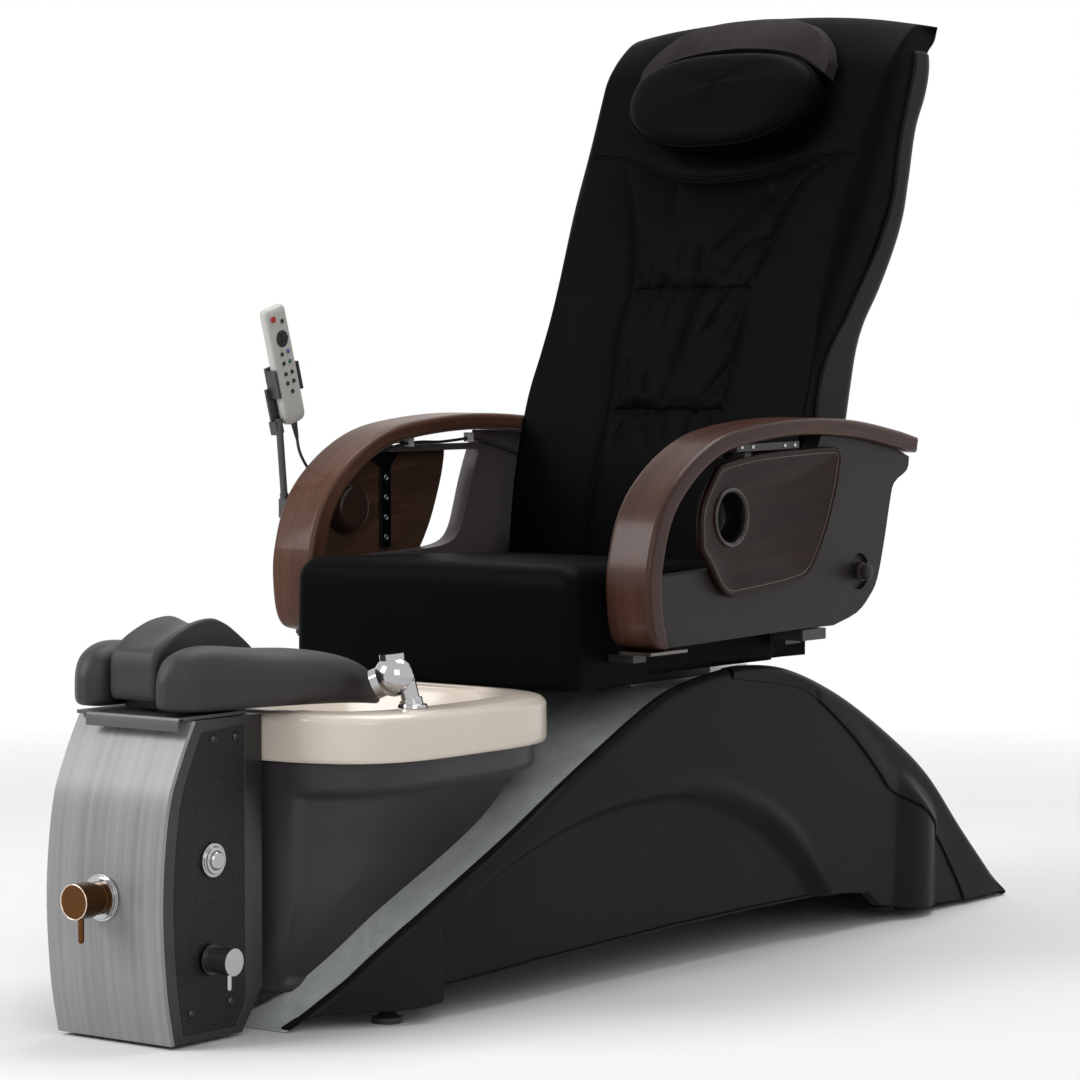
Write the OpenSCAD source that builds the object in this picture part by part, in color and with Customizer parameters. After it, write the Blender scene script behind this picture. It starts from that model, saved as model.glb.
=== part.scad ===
// Pedicure spa chair: a foot basin with a tap tower, an arched base and a reclining massage seat.
// Millimetres. X points to the sitter's left, Y from the foot basin towards the back, Z up.
// The origin is on the floor under the middle of the chair.

/* [Arms and seat] */
// Half the width over the two arms
arm_half = 338; // [334:1:342]
// Width of an arm's wooden band at the front
band_w = 76; // [70:1:78]
// Thickness of an arm's wooden band along its top
band_t = 25; // [23:1:27]
// How much thicker the band is down its front
band_front_extra = 10; // [6:1:12]
// Half the width of the seat cushion
seat_half = 250; // [244:1:252]
// Height of the crown of the seat cushion
seat_top = 575; // [552:1:580]
// Height of the neck of the back's upholstery above the floor
back_top = 1394; // [1385:1:1400]
// Half the width of the back between the arms
back_half = 258; // [252:1:260]
// Half the width of the back at the shoulders
shoulder_half = 275; // [268:1:280]

/* [Base and basin] */
// Half the width over the base's side panels
base_half = 258; // [254:1:262]
// Height of the crest of the side panels
crest_z = 420; // [416:1:424]
// Half the width of the basin's rim
rim_half = 271; // [266:1:274]
// Height of the basin's rim
rim_z = 414; // [410:1:416]
// Height of the floor of the bowl
bowl_floor = 158; // [150:1:180]

/* [Tower] */
// Half the width of the tap tower
tower_half = 98; // [94:1:102]
// Height of the tap tower
tower_z = 412; // [408:1:414]
// Diameter of the mixer's cap
mixer_d = 46; // [42:1:50]
// Diameter of the air button's bezel
bezel_d = 44; // [40:1:48]

/* [Remote control] */
// Length of the handset
handset_l = 176; // [170:1:180]
// Width of the handset
handset_w = 46; // [42:1:50]
// Diameter of the handset's cord
cord_d = 4.5; // [4:0.1:5]

/* [Hidden] */
$fn = 48;
NODES = ["base_frame", "side_panel_left", "side_panel_right", "ramp_cover", "rear_cover",
         "levelling_feet", "tub_shell", "basin", "drain_strainer", "jet_pump", "jet_impeller",
         "tower_body", "front_panel", "tower_side_left", "tower_side_right", "panel_screws",
         "mixer_escutcheon", "mixer_valve", "mixer_handle", "button_bezel", "jet_button",
         "diverter_collar", "diverter_handle", "sprayer_socket", "sprayer_head",
         "footrest_plate", "footrest_pin", "footrest_bridge", "footrest_pad_left",
         "footrest_pad_right", "seat_rails", "seat_carriage", "seat_pan", "seat_cushion",
         "seat_skirt", "actuator_body", "actuator_rod", "back_frame", "back_shell",
         "back_cushion", "head_pillow", "head_band", "massage_rails", "massage_carriage",
         "massage_rollers", "arm_left", "arm_panel_left", "tray_left", "cup_insert_left",
         "arm_right", "arm_panel_right", "tray_right", "cup_insert_right", "remote_holder",
         "handset", "power_key", "direction_pad", "keypad", "handset_cord", "cord_clips"];
echo(nodes = len(NODES));

black = [0.07, 0.07, 0.07];
base_black = [0.13, 0.125, 0.125];
walnut = [0.36, 0.20, 0.13];
tray_red = [0.20, 0.11, 0.09];
panel_grey = [0.25, 0.22, 0.21];
ramp_grey = [0.42, 0.46, 0.45];
front_grey = [0.58, 0.61, 0.61];
cream = [0.84, 0.79, 0.71];
steel = [0.70, 0.71, 0.72];
dark_steel = [0.30, 0.30, 0.31];
rubber_grey = [0.28, 0.26, 0.27];
handset_white = [0.78, 0.79, 0.75];

// ---- helpers ----

function knot(p, i) = p[max(0, min(len(p) - 1, i))];
function spline_at(p, i, t) =
    let (a = knot(p, i - 1), b = knot(p, i), c = knot(p, i + 1), d = knot(p, i + 2))
    0.5 * (2 * b + (c - a) * t + (2 * a - 5 * b + 4 * c - d) * t * t
           + (3 * b - a - 3 * c + d) * t * t * t);
// a smooth line through the points p, with n steps from each to the next
function spline(p, n) = [for (i = [0 : len(p) - 2]) for (k = [0 : n - 1]) spline_at(p, i, k / n),
                         p[len(p) - 1]];
function reversed(p) = [for (i = [len(p) - 1 : -1 : 0]) p[i]];
function mix(a, b, t) = a + (b - a) * t;
function arc(c, r, a0, a1, n) = [for (i = [0 : n])
    c + r * [cos(mix(a0, a1, i / n)), sin(mix(a0, a1, i / n))]];
// the line p moved sideways by d, to its right
function beside(p, d) = [for (i = [0 : len(p) - 1])
    let (t = knot(p, i + 1) - knot(p, i - 1)) p[i] + d * [t[1], -t[0]] / norm(t)];
function signed_pow(v, e) = sign(v) * pow(abs(v), e);
// a rounded oblong between two Y values; a higher power is squarer
function oblong(half_x, y0, y1, power, n) =
    [for (i = [0 : n - 1]) [half_x * signed_pow(cos(360 * i / n), 2 / power),
                            (y0 + y1) / 2 + (y1 - y0) / 2 * signed_pow(sin(360 * i / n), 2 / power)]];
function smooth_step(t) = let (u = max(0, min(1, t))) u * u * (3 - 2 * u);

// an outline drawn in (Y, Z) and run along X
module along_x(x0, x1) {
    translate([x0, 0, 0]) rotate([90, 0, 90]) linear_extrude(x1 - x0) children();
}
// an outline drawn in (X, Z) and run along Y
module along_y(y0, y1) {
    translate([0, y1, 0]) rotate([90, 0, 0]) linear_extrude(y1 - y0) children();
}
module along_z(z0, z1) {
    translate([0, 0, z0]) linear_extrude(z1 - z0) children();
}
module rod_x(x0, x1, y, z, d) {
    translate([x0, y, z]) rotate([0, 90, 0]) cylinder(d = d, h = x1 - x0);
}
module rod_y(x, y0, y1, z, d) {
    translate([x, y1, z]) rotate([90, 0, 0]) cylinder(d = d, h = y1 - y0);
}
module block(x0, x1, y0, y1, z0, z1) {
    translate([x0, y0, z0]) cube([x1 - x0, y1 - y0, z1 - z0]);
}
module both_sides() {
    children();
    mirror([1, 0, 0]) children();
}
module both_edges() {
    children();
    mirror([0, 1, 0]) children();
}
// a closed body between two grids of points that share their edges' order, front then back
module skin(front, back) {
    rows = len(front);
    cols = len(front[0]);
    count = rows * cols;
    edge = concat([for (j = [0 : cols - 2]) j], [for (i = [0 : rows - 2]) i * cols + cols - 1],
                  [for (j = [cols - 1 : -1 : 1]) (rows - 1) * cols + j],
                  [for (i = [rows - 1 : -1 : 1]) i * cols]);
    polyhedron(points = concat([for (r = front) for (p = r) p], [for (r = back) for (p = r) p]),
        faces = concat(
            [for (i = [0 : rows - 2]) for (j = [0 : cols - 2])
                [i * cols + j, i * cols + j + 1, (i + 1) * cols + j + 1]],
            [for (i = [0 : rows - 2]) for (j = [0 : cols - 2])
                [i * cols + j, (i + 1) * cols + j + 1, (i + 1) * cols + j]],
            [for (i = [0 : rows - 2]) for (j = [0 : cols - 2])
                [count + i * cols + j, count + (i + 1) * cols + j + 1, count + i * cols + j + 1]],
            [for (i = [0 : rows - 2]) for (j = [0 : cols - 2])
                [count + i * cols + j, count + (i + 1) * cols + j, count + (i + 1) * cols + j + 1]],
            [for (k = [0 : len(edge) - 1]) let (a = edge[k], b = edge[(k + 1) % len(edge)])
                [a, count + b, b]],
            [for (k = [0 : len(edge) - 1]) let (a = edge[k], b = edge[(k + 1) % len(edge)])
                [a, count + a, count + b]]));
}

// ---- base ----

// the crest of a side panel, in (Y, Z), from the tower to the tail
arch_points = [[-690, 4], [-642, 50], [-606, 87], [-559, 132], [-455, 190], [-327, 248], [-194, 312],
               [-60, 374], [21, 401], [118, crest_z - 4], [205, crest_z], [308, crest_z - 13],
               [442, 361], [581, 292], [696, 221], [801, 127], [893, 48], [942, 4]];
arch_line = spline(arch_points, 3);
// the arched hollow in the lower part of a side panel
hollow_line = spline([[-497, 36], [-496, 122], [-427, 176], [-320, 220], [-176, 254], [-13, 263],
                      [108, 247], [234, 204], [340, 138], [425, 56]], 3);
// where the tail cover's flange ends on a side panel
groove_line = spline([[150, 404], [208, 397], [311, 381], [377, 356], [472, 294], [542, 236],
                      [575, 206], [642, 174], [715, 121], [775, 54], [805, 14]], 3);
// the lower edges of a side panel, from the tail to the front foot
lower_line = [[928, 8], [805, 8], [700, 12], [617, 19], [558, 28], [520, 52], [447, 60], [200, 61],
              [31, 60], [-103, 57], [-288, 52], [-476, 42], [-497, 38], [-498, 24], [-560, 20],
              [-647, 20], [-668, 14]];
// half the width of the base along Y, in (Y, X)
plan_points = [[-690, 134], [-642, 162], [-606, 188], [-559, 217], [-511, 237], [-430, 248],
               [-300, base_half - 3], [0, base_half], [600, base_half], [942, base_half - 4]];
plan_line = spline(plan_points, 3);
panel_t = 16;
hollow_depth = 14;
deck_z = 398;
foot_y_front = -545;
foot_y_rear = 678;
foot_x = 186;
cover_split = 292;
cover_start = 400;
cover_t = 8;

module arch_region(drop) {
    polygon(concat([for (p = arch_line) [p[0], p[1] - drop]], lower_line));
}
module plan_region(inset) {
    edge = [for (p = plan_line) [p[1] - inset, p[0]]];
    polygon(concat(edge, [for (p = reversed(edge)) [-p[0], p[1]]]));
}
// one side panel: an arched skin with a hollow low down and a column at each foot
module side_panel() {
    column_r = 90;
    intersection() {
        union() {
            difference() {
                along_z(0, crest_z) difference() {
                    plan_region(0);
                    plan_region(panel_t);
                }
                block(-300, 0, -800, 1000, -1, crest_z + 1);
                difference() {
                    along_x(60, base_half + 10) polygon(hollow_line);
                    along_z(-1, crest_z) plan_region(hollow_depth);
                }
            }
            difference() {
                intersection() {
                    along_z(0, crest_z) plan_region(hollow_depth);
                    along_x(60, base_half) polygon(concat(
                        [[-520, 30]], [for (p = hollow_line) p + [0, 12]], [[460, 30]]));
                }
                along_z(-1, crest_z + 1) plan_region(hollow_depth + panel_t);
            }
            difference() {
                translate([base_half - 70, 655, 8]) cylinder(r = column_r, h = 190);
                block(-50, base_half - 40, 500, 800, 0, 300);
            }
        }
        along_x(0, 300) arch_region(0);
    }
}
module side_panel_left() {
    color(base_black) difference() {
        side_panel();
        rear_flange_space();
        along_x(0, 300) difference() {
            polygon([[cover_start - 0.3, 0], [990, -20], [990, 500], [cover_start - 0.3, 500]]);
            arch_region(cover_t + 0.3);
        }
    }
}
module side_panel_right() {
    mirror([1, 0, 0]) side_panel_left();
}
module rear_flange_space() {
    along_x(base_half - 5, base_half + 40)
        polygon(concat(groove_line, [[990, -20], [990, 500], [150, 500]]));
}

// a sheet that follows the crest, lowered by drop and flattened at height cap
module crest_sheet(drop, cap, inset, y0, y1) {
    upper = [for (p = arch_line) [p[0], min(cap, p[1] - drop)]];
    intersection() {
        along_x(-base_half - 4, base_half + 4)
            polygon(concat(upper, reversed([for (p = upper) p - [0, cover_t]])));
        along_z(1, 500) plan_region(inset);
        block(-300, 300, y0, y1, 1, 500);
    }
}
// the grey ramp and the deck under the seat, with an opening for the tub
module ramp_cover() {
    color(ramp_grey) difference() {
        crest_sheet(3, deck_z, panel_t + 0.3, -690, cover_split);
        tub_form(0.8, 42, 352);
        jet_place() translate([0, 0, -70]) cylinder(d = 72.4, h = 90);
    }
}

// the dark cover over the tail, whose flanges lap the side panels
module rear_cover() {
    color(base_black) {
        crest_sheet(7, deck_z, panel_t + 0.3, cover_split + 0.4, cover_start + 20);
        crest_sheet(0, 500, -4, cover_start, 942);
        both_sides() intersection() {
            along_x(base_half - 4.7, base_half + 4)
                polygon(concat(groove_line, reversed([for (p = arch_line) if (p[0] >= 150) p])));
            along_z(1, 500) plan_region(-4);
        }
    }
}

// welded steel tubes: two rails, cross tubes, feet posts and the posts under the seat
module base_frame() {
    tube = 36;
    rail_low = 66;
    rail_high = rail_low + tube;
    color(dark_steel) {
        both_sides() {
            block(foot_x - 18, foot_x + 12, foot_y_front - 18, -340, rail_low, rail_low + 16);
            block(foot_x - 18, foot_x + 18, -360, foot_y_rear + 18, rail_low, rail_high);
            for (y = [foot_y_front, foot_y_rear]) difference() {
                block(foot_x - 18, foot_x + 12, y - 18, y + 18, 42, rail_low + 1);
                translate([foot_x - 2, y, 0]) cylinder(d = 12.2, h = 60);
            }
            for (y = [60, 270]) {
                block(132, 168, y, y + tube, rail_low, deck_z - cover_t - 0.3);
                block(167, foot_x - 17, y, y + tube, rail_low, rail_high);
            }
        }
        for (y = [-60, 630]) block(-foot_x + 17, foot_x - 17, y, y + tube, rail_low, rail_high);
        for (y = [60, 270]) block(-133, 133, y, y + tube, 340, 366);
    }
}

module levelling_feet() {
    color(dark_steel) both_sides() for (y = [foot_y_front, foot_y_rear]) translate([foot_x - 2, y, 0]) {
        cylinder(d = 42, h = 8);
        translate([0, 0, 8]) cylinder(d1 = 36, d2 = 18, h = 6);
        translate([0, 0, 13]) cylinder(d = 12, h = 44);
        translate([0, 0, 17]) cylinder(d = 19, h = 7, $fn = 6);
    }
}

// ---- tub and basin ----

rim_front = -694;
rim_back = -217;
module slab(half_x, y0, y1, power, z, h) {
    translate([0, 0, z]) linear_extrude(h) polygon(oblong(half_x, y0, y1, power, 40));
}
// the tub is slim below its waist and flares to the rim above it
tub_waist = 174;
tub_waist_z = 236;
module tub_form(grow, z_low, z_high) {
    hull() {
        slab(rim_half - 12 + grow, rim_front + 10 - grow, rim_back - 12 + grow, 3.6, z_high - 2, 2);
        slab(tub_waist + grow, rim_front + 16 - grow, -284 + grow, 3.4, tub_waist_z, 2);
    }
    hull() {
        slab(tub_waist + grow, rim_front + 16 - grow, -284 + grow, 3.4, tub_waist_z - 0.5, 2);
        slab(134 + grow, rim_front + 22 - grow, -372 + grow, 3.4, z_low, 2);
    }
}
module tub_shell() {
    color(base_black) difference() {
        tub_form(0, 42, 352);
        translate([0, 0, 8]) tub_form(-7, 42, 360);
        tower_room();
        jet_place() translate([0, 0, -70]) cylinder(d = 72.4, h = 90);
    }
}
module tower_room() {
    block(-tower_half - 0.4, tower_half + 0.4, -760, -692.8, -1, 500);
}
sprayer_at = [222, -538, rim_z];
sprayer_lean = 14;
sprayer_turn = 205;
bowl_half = 196;
module bowl_form(grow, low) {
    hull() {
        slab(bowl_half + grow, -648 - grow, -262 + grow, 3.2, rim_z - 1, 3);
        slab(118 + grow, -600 - grow, -352 + grow, 2.8, low, 2);
    }
}
// the cream bowl with its wide rounded rim
module basin() {
    color(cream) difference() {
        union() {
            hull() {
                slab(rim_half - 3, rim_front + 3, rim_back - 3, 3.8, 352.4, 2);
                slab(rim_half, rim_front, rim_back, 3.8, 360, rim_z - 374);
                slab(rim_half - 4, rim_front + 4, rim_back - 4, 3.8, rim_z - 8, 1);
                slab(rim_half - 14, rim_front + 14, rim_back - 14, 3.8, rim_z - 1, 1);
            }
        }
        difference() {
            slab(rim_half - 8, rim_front + 8, rim_back - 8, 3.8, 350, rim_z - 360);
            bowl_form(5, bowl_floor - 5);
        }
        bowl_form(0, bowl_floor);
        tower_room();
        sprayer_place() translate([0, 0, -40]) cylinder(d = 22, h = 60);
        translate([0, -478, bowl_floor - 20]) cylinder(d = 46, h = 40);
    }
    color(cream) difference() {
        bowl_form(5, bowl_floor - 5);
        bowl_form(0, bowl_floor);
        block(-300, 300, -800, 0, 360, 500);
        translate([0, -478, bowl_floor - 20]) cylinder(d = 46, h = 40);
        jet_place() translate([0, 0, -30]) cylinder(d = 72, h = 60);
    }
}
module drain_strainer() {
    color(steel) translate([0, -478, 0]) difference() {
        union() {
            translate([0, 0, bowl_floor + 0.2]) cylinder(d = 66, h = 2.4);
            translate([0, 0, bowl_floor - 52]) cylinder(d = 45.6, h = 53);
        }
        translate([0, 0, bowl_floor - 60]) cylinder(d = 38, h = 58);
        for (a = [0 : 60 : 300]) rotate(a) translate([11, 0, bowl_floor - 60]) cylinder(d = 7, h = 80);
    }
}
// the whirlpool jet sits low in the back wall of the bowl
jet_at = [0, -330, 262];
jet_tilt = 57;
module jet_place() {
    translate(jet_at) rotate([jet_tilt, 0, 0]) children();
}
module jet_pump() {
    color(dark_steel) jet_place() {
        difference() {
            translate([0, 0, -14]) cylinder(d = 71.6, h = 30);
            translate([0, 0, -8]) cylinder(d = 62, h = 20.5);
            for (a = [0 : 45 : 315]) rotate(a) translate([20, 0, 8]) cylinder(d = 11, h = 12);
            for (a = [0 : 90 : 270]) rotate(a + 22) translate([30, 0, 0]) rotate([0, 90, 0])
                cylinder(d = 6, h = 12);
            cylinder(d = 6.1, h = 9.5);
        }
        translate([0, 0, -8.5]) cylinder(d = 6, h = 10);
        difference() {
            translate([0, 0, -52]) cylinder(d = 64, h = 38.5);
            translate([0, 0, -53]) cylinder(d = 20, h = 8);
        }
    }
}
module jet_impeller() {
    color(steel) jet_place() difference() {
        union() {
            translate([0, 0, -5]) cylinder(d = 14, h = 13);
            translate([0, 0, -5]) cylinder(d = 54, h = 2.5);
            for (a = [0 : 60 : 300]) rotate(a) translate([5, -1.2, -3.5]) cube([20, 2.4, 9]);
        }
        translate([0, 0, -10]) cylinder(d = 6.12, h = 30);
    }
}

// ---- tap tower ----

tower_rear = -694;
side_rear = -728;
// the bowed front of the tower, in (Y, Z)
front_line = spline([[-868, 5], [-882, 80], [-888, 190], [-876, 300], [-852, 362],
                     [-825, tower_z]], 5);
front_t = 7;
mixer_z = 188;
button_y = -791;
button_z = 233;
diverter_y = -796;
diverter_z = 107;
side_plate_t = 5;

module tower_outline(grow) {
    polygon(concat([for (p = front_line) p + [front_t + 0.2 - grow, 0]],
                   [[tower_rear, tower_z - 0.2], [tower_rear, 60], [-734, 5]]));
}
module side_outline(grow) {
    polygon(concat([for (p = front_line) if (p[1] > 14 && p[1] < tower_z - 10) p + [26 - grow, 0]],
                   [[side_rear + grow, tower_z - 12], [side_rear + grow, 46], [-746, 14]]));
}
module tower_body() {
    color(base_black) difference() {
        along_x(-tower_half, tower_half) tower_outline(0);
        along_x(-tower_half + 8, tower_half - 8) polygon(concat(
            [for (p = front_line) if (p[1] > 20 && p[1] < tower_z - 20) p + [24, 0]],
            [[tower_rear - 8, tower_z - 30], [tower_rear - 8, 66], [-740, 24]]));
        both_sides() along_x(tower_half - side_plate_t - 0.2, tower_half + 1) side_outline(0.3);
        rod_y(0, -900, -840, mixer_z, 36);
        rod_x(70, 120, button_y, button_z, 30);
        rod_x(70, 120, diverter_y, diverter_z, 24);
        for (x = [-70, 70]) translate([x, -772, tower_z - 20]) cylinder(d = 6, h = 40);
    }
}
module front_panel() {
    color(front_grey) difference() {
        along_x(-tower_half, tower_half)
            polygon(concat(front_line, reversed([for (p = front_line) p + [front_t, 0]])));
        rod_y(0, -900, -840, mixer_z, 36);
    }
}
module tower_side(button) {
    color(base_black) difference() {
        along_x(tower_half - side_plate_t, tower_half) side_outline(0);
        if (button) {
            rod_x(70, 120, button_y, button_z, 30);
            rod_x(70, 120, diverter_y, diverter_z, 24);
        }
        for (p = screw_places) rod_x(70, 120, p[0], p[1], 5.2);
    }
}
screw_places = [[-786, 386], [-744, 386], [-830, 42], [-756, 48]];
module tower_side_left() {
    tower_side(true);
}
module tower_side_right() {
    mirror([1, 0, 0]) tower_side(false);
}
module panel_screws() {
    color(steel) both_sides() for (p = screw_places) {
        rod_x(tower_half - side_plate_t, tower_half, p[0], p[1], 5);
        rod_x(tower_half, tower_half + 1, p[0], p[1], 12);
        translate([tower_half + 1, p[0], p[1]]) rotate([0, 90, 0]) cylinder(d1 = 12, d2 = 7, h = 2);
    }
}

// the mixer on the front panel: a round plate, a barrel and a cap with a pin lever
mixer_y = -888;
module mixer_escutcheon() {
    color(steel) difference() {
        union() {
            difference() {
                rod_y(0, mixer_y - 4, mixer_y + 1.5, mixer_z, 60);
                translate([0, -0.15, 0]) along_x(-40, 40)
                    polygon(concat(front_line, reversed([for (p = front_line) p + [front_t, 0]])));
            }
            rod_y(0, mixer_y - 9, mixer_y - 3.9, mixer_z, 54);
            rod_y(0, mixer_y - 4, mixer_y + 36, mixer_z, 35.6);
        }
        rod_y(0, mixer_y - 20, mixer_y + 40, mixer_z, 22);
    }
}
module mixer_valve() {
    color(dark_steel) difference() {
        union() {
            rod_y(0, mixer_y - 8, mixer_y + 46, mixer_z, 21.6);
            rod_y(0, mixer_y + 46, mixer_y + 100, mixer_z, 48);
            block(-34, 34, mixer_y + 62, mixer_y + 78, mixer_z - 8, mixer_z + 8);
            for (x = [-34, 34]) translate([x, mixer_y + 70, mixer_z - 60]) cylinder(d = 20, h = 68);
        }
        rod_y(0, mixer_y - 20, mixer_y + 10, mixer_z, 8.1);
    }
}
module mixer_handle() {
    color(steel) {
        rod_y(0, mixer_y - 10, mixer_y + 4, mixer_z, 8);
        rod_y(0, mixer_y - 50, mixer_y - 9.8, mixer_z, mixer_d - 4);
        rod_y(0, mixer_y - 52, mixer_y - 26, mixer_z, mixer_d);
        translate([0, mixer_y - 39, mixer_z - 50]) cylinder(d = 8, h = 40);
        translate([0, mixer_y - 39, mixer_z - 50]) sphere(d = 8, $fn = 24);
    }
}
module button_bezel() {
    color(steel) difference() {
        union() {
            rod_x(tower_half, tower_half + 5, button_y, button_z, bezel_d);
            rod_x(tower_half + 4.9, tower_half + 9, button_y, button_z, bezel_d - 9);
            rod_x(tower_half - 34, tower_half + 1, button_y, button_z, 29.6);
        }
        rod_x(tower_half - 10, tower_half + 20, button_y, button_z, 24.1);
        rod_x(tower_half - 40, tower_half + 20, button_y, button_z, 8);
    }
}
module jet_button() {
    color(steel) {
        rod_x(tower_half - 4, tower_half + 11, button_y, button_z, 24);
        translate([tower_half + 11, button_y, button_z]) rotate([0, 90, 0])
            cylinder(d1 = 24, d2 = 20, h = 2);
    }
}
module diverter_collar() {
    color(steel) difference() {
        union() {
            rod_x(tower_half, tower_half + 6, diverter_y, diverter_z, 40);
            rod_x(tower_half - 30, tower_half + 1, diverter_y, diverter_z, 23.6);
        }
        rod_x(tower_half - 40, tower_half + 20, diverter_y, diverter_z, 10.1);
    }
}
module diverter_handle() {
    color(steel) {
        rod_x(tower_half - 20, tower_half + 8, diverter_y, diverter_z, 10);
        rod_x(tower_half + 6.3, tower_half + 40, diverter_y, diverter_z, 32);
        rod_x(tower_half + 24, tower_half + 42, diverter_y, diverter_z, 35);
        translate([tower_half + 33, diverter_y, diverter_z - 34]) cylinder(d = 7, h = 24);
        translate([tower_half + 33, diverter_y, diverter_z - 34]) sphere(d = 7, $fn = 24);
    }
}

// the hand sprayer stands in a socket on the basin's rim
module sprayer_place() {
    translate(sprayer_at) rotate([0, 0, sprayer_turn]) rotate([0, sprayer_lean, 0]) children();
}
module sprayer_socket() {
    color(steel) difference() {
        union() {
            difference() {
                union() {
                    translate(sprayer_at + [0, 0, 0.2]) cylinder(d1 = 40, d2 = 37, h = 5);
                    sprayer_place() cylinder(d = 30, h = 12);
                }
                translate(sprayer_at - [50, 50, 49.8]) cube([100, 100, 50]);
            }
            sprayer_place() translate([0, 0, -36]) cylinder(d = 21.6, h = 40);
        }
        sprayer_place() translate([0, 0, -60]) cylinder(d = 18.1, h = 90);
    }
}
module sprayer_head() {
    color(steel) {
        sprayer_place() {
            translate([0, 0, -38]) cylinder(d = 18, h = 52);
            translate([0, 0, 12.3]) cylinder(d = 24, h = 22);
            translate([14, 0, 46]) sphere(d = 54);
            translate([14, 0, 46]) rotate([0, 100, 0]) cylinder(d = 40, h = 28.5);
            translate([14, 0, 46]) rotate([0, -8, 0]) cylinder(d = 34, h = 29);
        }
    }
}

// ---- footrest ----

plate_top = tower_z + 5;
hinge_y = -838;
hinge_z = 438;
module footrest_plate() {
    color(steel) difference() {
        block(-92, 92, -836, -716, tower_z + 0.3, plate_top);
        for (x = [-70, 70]) translate([x, -772, tower_z - 20]) cylinder(d = 6.4, h = 40);
    }
}
module footrest_pin() {
    color(steel) {
        rod_x(-98, 98, hinge_y, hinge_z, 8);
        rod_x(97, 99, hinge_y, hinge_z, 12);
        rod_x(-99, -97, hinge_y, hinge_z, 12);
    }
}
// the raised saddle between the two pads, which carries their hinge pin
module footrest_bridge() {
    saddle = spline([[-831, 430], [-833, 464], [-831, 494], [-810, 512], [-772, 530], [-722, 536],
                     [-683, 521], [-640, 491], [-612, 460], [-598, 430]], 4);
    color(rubber_grey) difference() {
        union() {
            along_x(-40, 40) polygon(saddle);
            block(-40, 40, -828, -680, plate_top + 0.2, 434);
            block(-40, 40, hinge_y - 9, -800, plate_top + 0.2, hinge_z + 8);
        }
        rod_x(-100, 100, hinge_y, hinge_z, 8.04);
    }
}
// one foot pad: a long domed leaf that narrows to a tip over the bowl
pad_rows = 15;
pad_cols = 9;
pad_y0 = -853;
pad_y1 = -506;
function pad_inner(t) = lookup(t, [[0, 58], [0.07, 43], [0.45, 43], [0.7, 62], [0.9, 92], [1, 108]]);
function pad_outer(t) = lookup(t, [[0, 76], [0.07, 100], [0.25, 120], [0.55, 144], [0.8, 154], [0.93, 144],
                                   [1, 122]]);
function pad_top(t) = lookup(t, [[0, 478], [0.07, 497], [0.16, 505], [0.4, 500], [0.68, 492],
                                 [0.8, 478], [0.91, 450], [1, 426]]);
function pad_low(t) = lookup(t, [[0, 436], [0.07, 423], [0.5, 421], [0.8, 420], [1, 419]]);
function pad_grid(upper) = [for (i = [0 : pad_rows - 1]) let (t = i / (pad_rows - 1))
    [for (j = [0 : pad_cols - 1])
        let (s = j / (pad_cols - 1), bulge = sqrt(max(0, 1 - pow(2 * s - 1, 4))))
        [mix(pad_inner(t), pad_outer(t), s), mix(pad_y0, pad_y1, t),
         upper ? mix(pad_low(t) + (pad_top(t) - pad_low(t)) * 0.3, pad_top(t), bulge)
               : mix(pad_low(t) + (pad_top(t) - pad_low(t)) * 0.22, pad_low(t), bulge)]]];
module footrest_pad() {
    color(rubber_grey) difference() {
        skin(pad_grid(true), pad_grid(false));
        rod_x(30, 96.6, hinge_y, hinge_z, 8.1);
        rod_x(96.5, 130, hinge_y, hinge_z, 13);
    }
}
module footrest_pad_left() {
    footrest_pad();
}
module footrest_pad_right() {
    mirror([1, 0, 0]) footrest_pad();
}

// ---- seat carriage ----

rail_x = 150;
pivot_y = 345;
pivot_z = 500;
arm_pivot_y = 400;
arm_pivot_z = 550;
slide_travel = 110;
rail_front = 24;
rail_rear = 330;
runner_front = -140;
runner_rear = rail_rear - slide_travel;
module seat_rails() {
    color(steel) both_sides() {
        block(rail_x - 20, rail_x + 20, rail_front, rail_rear, deck_z + 0.2, deck_z + 3.2);
        block(rail_x - 10, rail_x + 10, rail_front, rail_rear, deck_z + 3, deck_z + 12);
        block(rail_x - 14, rail_x + 14, rail_front, rail_rear, deck_z + 9, deck_z + 12);
    }
}
module carriage_runner() {
    difference() {
        block(rail_x - 22, rail_x + 22, runner_front, runner_rear, deck_z + 4.4, deck_z + 22);
        block(rail_x - 14.6, rail_x + 14.6, runner_front - 1, runner_rear + 1,
              deck_z + 8.4, deck_z + 12.6);
        block(rail_x - 10.6, rail_x + 10.6, runner_front - 1, runner_rear + 1, deck_z, deck_z + 9);
    }
}
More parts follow.
